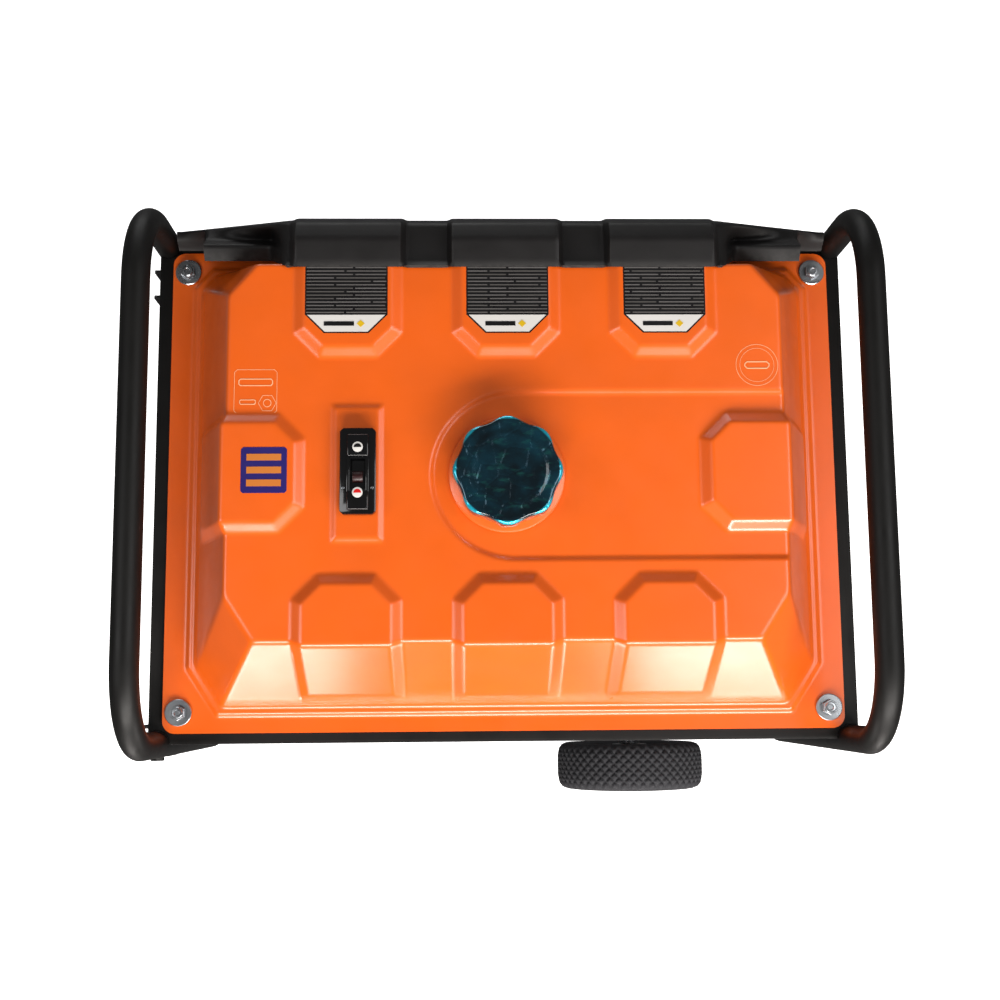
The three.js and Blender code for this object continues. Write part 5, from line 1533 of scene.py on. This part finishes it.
REFINED = (
    Refined("tank_lower_pan", "tank_pan", TANK_PAINT, "tank_paint", 1.0),
    Refined("handle_bar_front", "handle_tube_front", FRAME_PAINT, "frame_paint", 0.5),
    Refined("handle_bar_rear", "handle_tube_rear", FRAME_PAINT, "frame_paint", 0.5),
    Refined("handle_grip_front", "handle_rubber_front", BLACK_RUBBER, "rubber", 1.2),
    Refined("handle_grip_rear", "handle_rubber_rear", BLACK_RUBBER, "rubber", 1.2),
    Refined("handle_bracket_front", "handle_ears_front", FRAME_PAINT, "frame_paint", 0.8),
    Refined("handle_bracket_rear", "handle_ears_rear", FRAME_PAINT, "frame_paint", 0.8),
    Refined("fuel_tap", "tap_body", CAST_ALLOY, "cast_alloy", 0.5),
    Refined("fuel_tap_lever", "tap_lever", SWITCH_RED, "switch_red", 0.6),
    Refined("fuel_hose", "fuel_line", BLACK_RUBBER, "rubber", 0.0),
    Refined("engine_block", "crankcase", CAST_ALLOY, "cast_alloy", 1.0),
    Refined("cylinder_head", "head_casting", CAST_ALLOY, "cast_alloy", 0.6),
    Refined("rocker_cover", "rocker_box", FRAME_PAINT, "frame_paint", 2.0),
    Refined("recoil_housing", "recoil_cover", TANK_PAINT, "tank_paint", 1.0),
    Refined("recoil_grip", "pull_handle", MOULDED_BLACK, "hood_plastic", 1.4),
    Refined("flywheel_fan", "flywheel", CAST_ALLOY, "cast_alloy", 0.6),
    Refined("alternator_housing", "alternator_casing", CAST_ALLOY, "cast_alloy", 1.0),
    Refined("crankshaft_rotor", "crankshaft", TURNED_STEEL, "shaft_steel", 0.6),
    Refined("carburettor", "carburettor_body", CAST_ALLOY, "cast_alloy", 0.8),
    Refined("air_cleaner", "air_cleaner_box", MOULDED_BLACK, "hood_plastic", 2.0),
    Refined("choke_lever", "choke_arm", ZINC, "shaft_steel", 0.5),
    Refined("muffler", "muffler_drum", ROLLED_STEEL, "muffler_steel", 2.0),
    Refined("control_panel", "panel_board", PANEL_BLACK, "panel_plastic", 0.8),
    Refined("socket_left", "socket_shell_left", SOCKET_GREY, "socket_plastic", 0.8),
    Refined("socket_right", "socket_shell_right", SOCKET_GREY, "socket_plastic", 0.8),
    Refined("socket_lid_left", "socket_cover_left", LID_BLUE, "socket_plastic", 0.8),
    Refined("socket_lid_right", "socket_cover_right", LID_BLUE, "socket_plastic", 0.8),
    Refined("engine_switch", "engine_rocker_key", SWITCH_RED, "switch_red", 0.6),
    Refined("breaker_switch", "breaker_rocker_key", GLOSS_BLACK, "gauge_plastic", 0.6),
)


# ---------------------------------------------------------------- recoil starter and panel fittings
@dataclass
class RecoilDetails:
    """The starter's raised cap, flat black strips of painted shade for its air slots, screws and pull rope.

    Attributes:
        cap_radius: of the raised cap in millimetres.
        slot_count: air slots round the cap, each a flat black strip of painted shade.
        rope_radius: of the pull rope in millimetres.
    """

    cap_radius: float = 54.0
    slot_count: int = 18
    rope_radius: float = 2.4

    def build(self) -> None:
        """Makes the fittings on the starter's outer face, and the rope."""
        low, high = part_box("recoil_housing")
        face = low.x
        radius = (high.z - low.z) / 2
        y, z = high.y - radius, (low.z + high.z) / 2
        cap = turned("recoil_cap", [(0, -2), (self.cap_radius, -2), (self.cap_radius, 1.6),
                                    (self.cap_radius - 3, 3.2), (18, 4.2), (15, 2.8), (0, 2.8)],
                     Axis.X, (face, y, z), 72)
        for vertex in cap.data.vertices:
            vertex.co.x = 2 * face - vertex.co.x
        with editing(cap, "FACE"):
            bpy.ops.mesh.normals_make_consistent(inside=False)
        dress(cap, FRAME_PAINT, Body.FRAME)
        # Each air slot is a flat black strip on the cover's face. Its black is painted shade standing for the
        # dark inside of an open slot.
        slots = []
        for i in range(self.slot_count):
            angle = 2 * math.pi * (i + 0.5) / self.slot_count
            out = Vector((0, math.cos(angle), math.sin(angle)))
            inner = Vector((face - 0.5 * MM, y, z)) + out * 64 * MM
            slots.append(rod(f"recoil_slot_{i}", 4.0, inner, inner + out * 26 * MM, 1.5, 12))
        slot = joined("recoil_slot_painted_shade", slots)
        for vertex in slot.data.vertices:
            vertex.co.x = face + (vertex.co.x - face) * 0.2
        dress(slot, MOULDED_BLACK, Body.FRAME)
        screws = []
        for i in range(3):
            angle = 2 * math.pi * i / 3 + 0.4
            x = face - 3.2 * MM
            spot = (y + 40 * MM * math.cos(angle), z + 40 * MM * math.sin(angle))
            screws.append(hexagon(f"recoil_screw_{i}", 8, (x + 1 * MM, *spot), (x - 3.4 * MM, *spot)))
        dress(joined("recoil_screws", screws), ZINC, Body.FRAME)
        grip_low, grip_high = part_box("recoil_grip")
        x, level = (grip_low.x + grip_high.x) / 2, (grip_low.z + grip_high.z) / 2
        start, end = (x, grip_high.y + 18 * MM, level), (x, grip_high.y - 5 * MM, level)
        route = [Vector(start).lerp(Vector(end), i / 24) for i in range(25)]
        rope = swept("recoil_rope", route, self.rope_radius, 10)
        rope.data.materials.append(ROPE.material())
        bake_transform(rope)
        LOG.info("made recoil_rope: it runs out with the grip")


@dataclass
class PanelFittings:
    """The panel's meter, terminal, screws and the labels under the sockets.

    Attributes:
        meter: X and height of the meter's middle in millimetres.
        meter_radius: of its bezel in millimetres.
    """

    meter: tuple[float, float] = (-150.0, 425.0)
    meter_radius: float = 27.0

    def meter_parts(self, face: float) -> None:
        """Makes the round meter with its dial, ticks and needle."""
        x, z = self.meter[0] * MM, self.meter[1] * MM
        rim = self.meter_radius
        bezel = turned("meter_bezel", [(rim - 4, 1), (rim, 1), (rim, -4), (rim - 2, -6), (rim - 4, -5),
                                       (rim - 4, 1)], Axis.Y, (x, face, z), 72)
        dress(bezel, GLOSS_BLACK, Body.FRAME)
        dial = turned("meter_dial", [(0, 1), (rim - 3.6, 1), (rim - 3.6, -2), (0, -2)], Axis.Y,
                      (x, face, z), 56)
        dress(dial, LABEL_WHITE, Body.FRAME)
        ticks = []
        for i in range(11):
            angle = math.radians(150 - 12 * i)
            out = Vector((math.cos(angle), 0, math.sin(angle)))
            foot = Vector((x, face - 2.1 * MM, z)) + out * 15 * MM
            length = (4.5 if i % 5 == 0 else 3) * MM
            ticks.append(rod(f"meter_tick_{i}", 0.45, foot, foot + out * length, 0, 8))
        hub = Vector((x, face - 2.6 * MM, z - 4 * MM))
        ticks.append(rod("meter_needle", 0.6, hub, hub + Vector((-9, 0, 15)) * MM, 0.1, 10, 0.25))
        ticks.append(rod("meter_hub", 3, hub + Vector((0, 0.8, 0)) * MM, hub - Vector((0, 1, 0)) * MM,
                         0.4, 24))
        dress(joined("meter_marks", ticks), LABEL_BLACK, Body.FRAME)

    def build(self) -> None:
        """Makes the fittings on the panel's front face."""
        low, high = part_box("control_panel")
        face = low.y
        self.meter_parts(face)
        screws = []
        corners = [(x, z) for z in (low.z + 10 * MM, high.z - 16 * MM)
                   for x in (low.x + 12 * MM, high.x - 12 * MM)]
        for i, (x, z) in enumerate(corners):
            screws.append(hexagon(f"panel_screw_{i}", 8, (x, face + 1 * MM, z), (x, face - 3 * MM, z)))
            screws.append(rod(f"panel_washer_{i}", 7, (x, face + 1 * MM, z), (x, face - 1.1 * MM, z),
                              0.4, 32))
        earth = (low.x + 60 * MM, low.z + 30 * MM)
        screws.append(rod("earth_stud", 4, (earth[0], face + 1 * MM, earth[1]),
                          (earth[0], face - 12 * MM, earth[1]), 0.6, 24))
        screws.append(hexagon("earth_nut", 13, (earth[0], face - 1 * MM, earth[1]),
                              (earth[0], face - 7 * MM, earth[1])))
        dress(joined("panel_screws", screws), ZINC, Body.FRAME)
        for side in ("left", "right"):
            box_low, box_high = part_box(f"socket_{side}")
            x = (box_low.x + box_high.x) / 2
            strip = plate(f"socket_label_{side}", [(x - 30 * MM, 0), (x + 30 * MM, 0), (x + 30 * MM, 6 * MM),
                                                   (x - 30 * MM, 6 * MM)], 0, 0.3)
            for vertex in strip.data.vertices:
                across, along, rise = vertex.co
                vertex.co = (across, face - 0.05 * MM - rise, box_low.z - 14 * MM + along)
            with editing(strip, "FACE"):
                bpy.ops.mesh.normals_make_consistent(inside=False)
            dress(strip, LABEL_ORANGE, Body.FRAME)


# ---------------------------------------------------------------- studio
@dataclass(frozen=True)
class SoftBox:
    """A soft box.

    Attributes:
        name: its name.
        place: where it hangs, in metres.
        size: its width and height in metres.
        power: in watts.
        target: what it faces, in metres.
        tint: its colour.
    """

    name: str
    place: Point
    size: tuple[float, float]
    power: float
    target: Point = (0, 0, 0.55)
    tint: Point = (1, 1, 1)


SOFT_BOXES = (
    SoftBox("rear_box", (-0.45, 2.05, 1.68), (3.0, 0.5), 118, tint=(1, 0.96, 0.92)),
    SoftBox("right_box", (-1.9, 0.1, 3.0), (1.6, 1.6), 27),
    SoftBox("panel_box", (0.3, -2.6, 0.75), (1.8, 1.0), 16, target=(0, -0.2, 0.4)),
    SoftBox("left_box", (2.0, 0.3, 2.7), (1.0, 1.6), 18),
    SoftBox("low_left_box", (0.42, 1.08, 0.17), (0.4, 0.26), 3.4, (0.36, 0.2, 0.53), (1, 0.94, 0.9)),
    SoftBox("low_right_box", (-0.44, 1.08, 0.17), (0.36, 0.26), 3.4, (-0.38, 0.2, 0.53), (1, 0.94, 0.9)),
)


@dataclass
class Studio:
    """The camera over the tank, the pale floor and backdrop, and the soft boxes.

    Attributes:
        spot: where the camera stands, in metres.
        look: the way it looks.
        up: the way that is up in its view.
        lens: its focal length in millimetres.
    """

    spot: tuple[float, float, float] = (0.0247, 0.1980, 1.7898)
    look: tuple[float, float, float] = (-0.02759, -0.14023, -0.98973)
    up: tuple[float, float, float] = (-0.00465, -0.99008, 0.14041)
    lens: float = 49.39

    def camera(self) -> None:
        """Places the camera."""
        forward = Vector(self.look).normalized()
        right = forward.cross(Vector(self.up)).normalized()
        up = right.cross(forward)
        data = bpy.data.cameras.new("camera")
        data.lens = self.lens
        data.sensor_width = 36.0
        data.clip_start = 0.01
        data.clip_end = 60.0
        camera = bpy.data.objects.new("camera", data)
        bpy.context.scene.collection.objects.link(camera)
        rows = [(right.x, up.x, -forward.x), (right.y, up.y, -forward.y), (right.z, up.z, -forward.z)]
        matrix = camera.matrix_world.copy()
        for i, row in enumerate(rows):
            matrix[i][0], matrix[i][1], matrix[i][2] = row
            matrix[i][3] = self.spot[i]
        camera.matrix_world = matrix
        bpy.context.scene.camera = camera

    def hang(self, box: SoftBox) -> None:
        """Hangs one soft box."""
        data = bpy.data.lights.new(box.name, "AREA")
        data.shape = "RECTANGLE"
        data.size, data.size_y = box.size
        data.energy = box.power
        data.color = box.tint
        light = bpy.data.objects.new(box.name, data)
        light.location = box.place
        light.rotation_euler = (Vector(box.target) - Vector(box.place)).to_track_quat("-Z", "Y").to_euler()
        bpy.context.scene.collection.objects.link(light)

    def floor(self) -> None:
        """Lays the plain pale floor."""
        bpy.ops.object.select_all(action="DESELECT")
        bpy.ops.mesh.primitive_plane_add(size=14)
        piece = settle(bpy.context.object, "studio_floor")
        graph = Graph("pale_floor")
        shade = graph.spread(graph.noise(2.0, 2), 0.86, 0.9)
        tone = graph.add("ShaderNodeCombineColor")
        for name in ("Red", "Green", "Blue"):
            graph.join(shade, tone.inputs[name])
        graph.join(tone.outputs["Color"], graph.shader.inputs["Base Color"])
        graph.shader.inputs["Roughness"].default_value = 0.9
        graph.shader.inputs["Emission Color"].default_value = (1, 1, 1, 1)
        graph.shader.inputs["Emission Strength"].default_value = 1.0
        piece.data.materials.append(graph.material)
        piece.visible_glossy = False
        piece.visible_diffuse = False

    def dome(self) -> None:
        """Hangs the pale backdrop round the floor."""
        bpy.ops.object.select_all(action="DESELECT")
        bpy.ops.mesh.primitive_uv_sphere_add(segments=48, ring_count=24, radius=14)
        piece = settle(bpy.context.object, "studio_backdrop")
        with editing(piece, "FACE"):
            bpy.ops.mesh.flip_normals()
        graph = Graph("pale_backdrop")
        graph.join(graph.spread(graph.noise(0.4, 1), 0.98, 1.0), graph.shader.inputs["Emission Strength"])
        graph.shader.inputs["Base Color"].default_value = (0, 0, 0, 1)
        graph.shader.inputs["Specular IOR Level"].default_value = 0
        graph.shader.inputs["Emission Color"].default_value = (1, 1, 1, 1)
        piece.data.materials.append(graph.material)
        piece.visible_glossy = False
        piece.visible_diffuse = False
        piece.visible_shadow = False

    def build(self) -> None:
        """Sets up the studio."""
        scene = bpy.context.scene
        scene.view_settings.view_transform = "Standard"
        world = bpy.data.worlds.new("studio_air")
        world.use_nodes = True
        background = world.node_tree.nodes["Background"]
        background.inputs["Color"].default_value = (1, 1, 1, 1)
        background.inputs["Strength"].default_value = 0.12
        scene.world = world
        self.camera()
        self.floor()
        self.dome()
        for box in SOFT_BOXES:
            self.hang(box)


# ---------------------------------------------------------------- the whole generator
def main() -> None:
    """Builds every sub-assembly in order."""
    logging.basicConfig(level=logging.INFO, format="%(name)s: %(message)s")
    Studio().build()
    tank = TankShell()
    tank.build()
    Stickers(tank).build()
    FuelCap().build()
    FuelGauge().build()
    TankBolts().build()
    Hood(tank).build()
    TubeFrame().build()
    Wheels().build()
    for piece in REFINED:
        piece.build()
    RecoilDetails().build()
    PanelFittings().build()


if __name__ == "__main__":
    main()
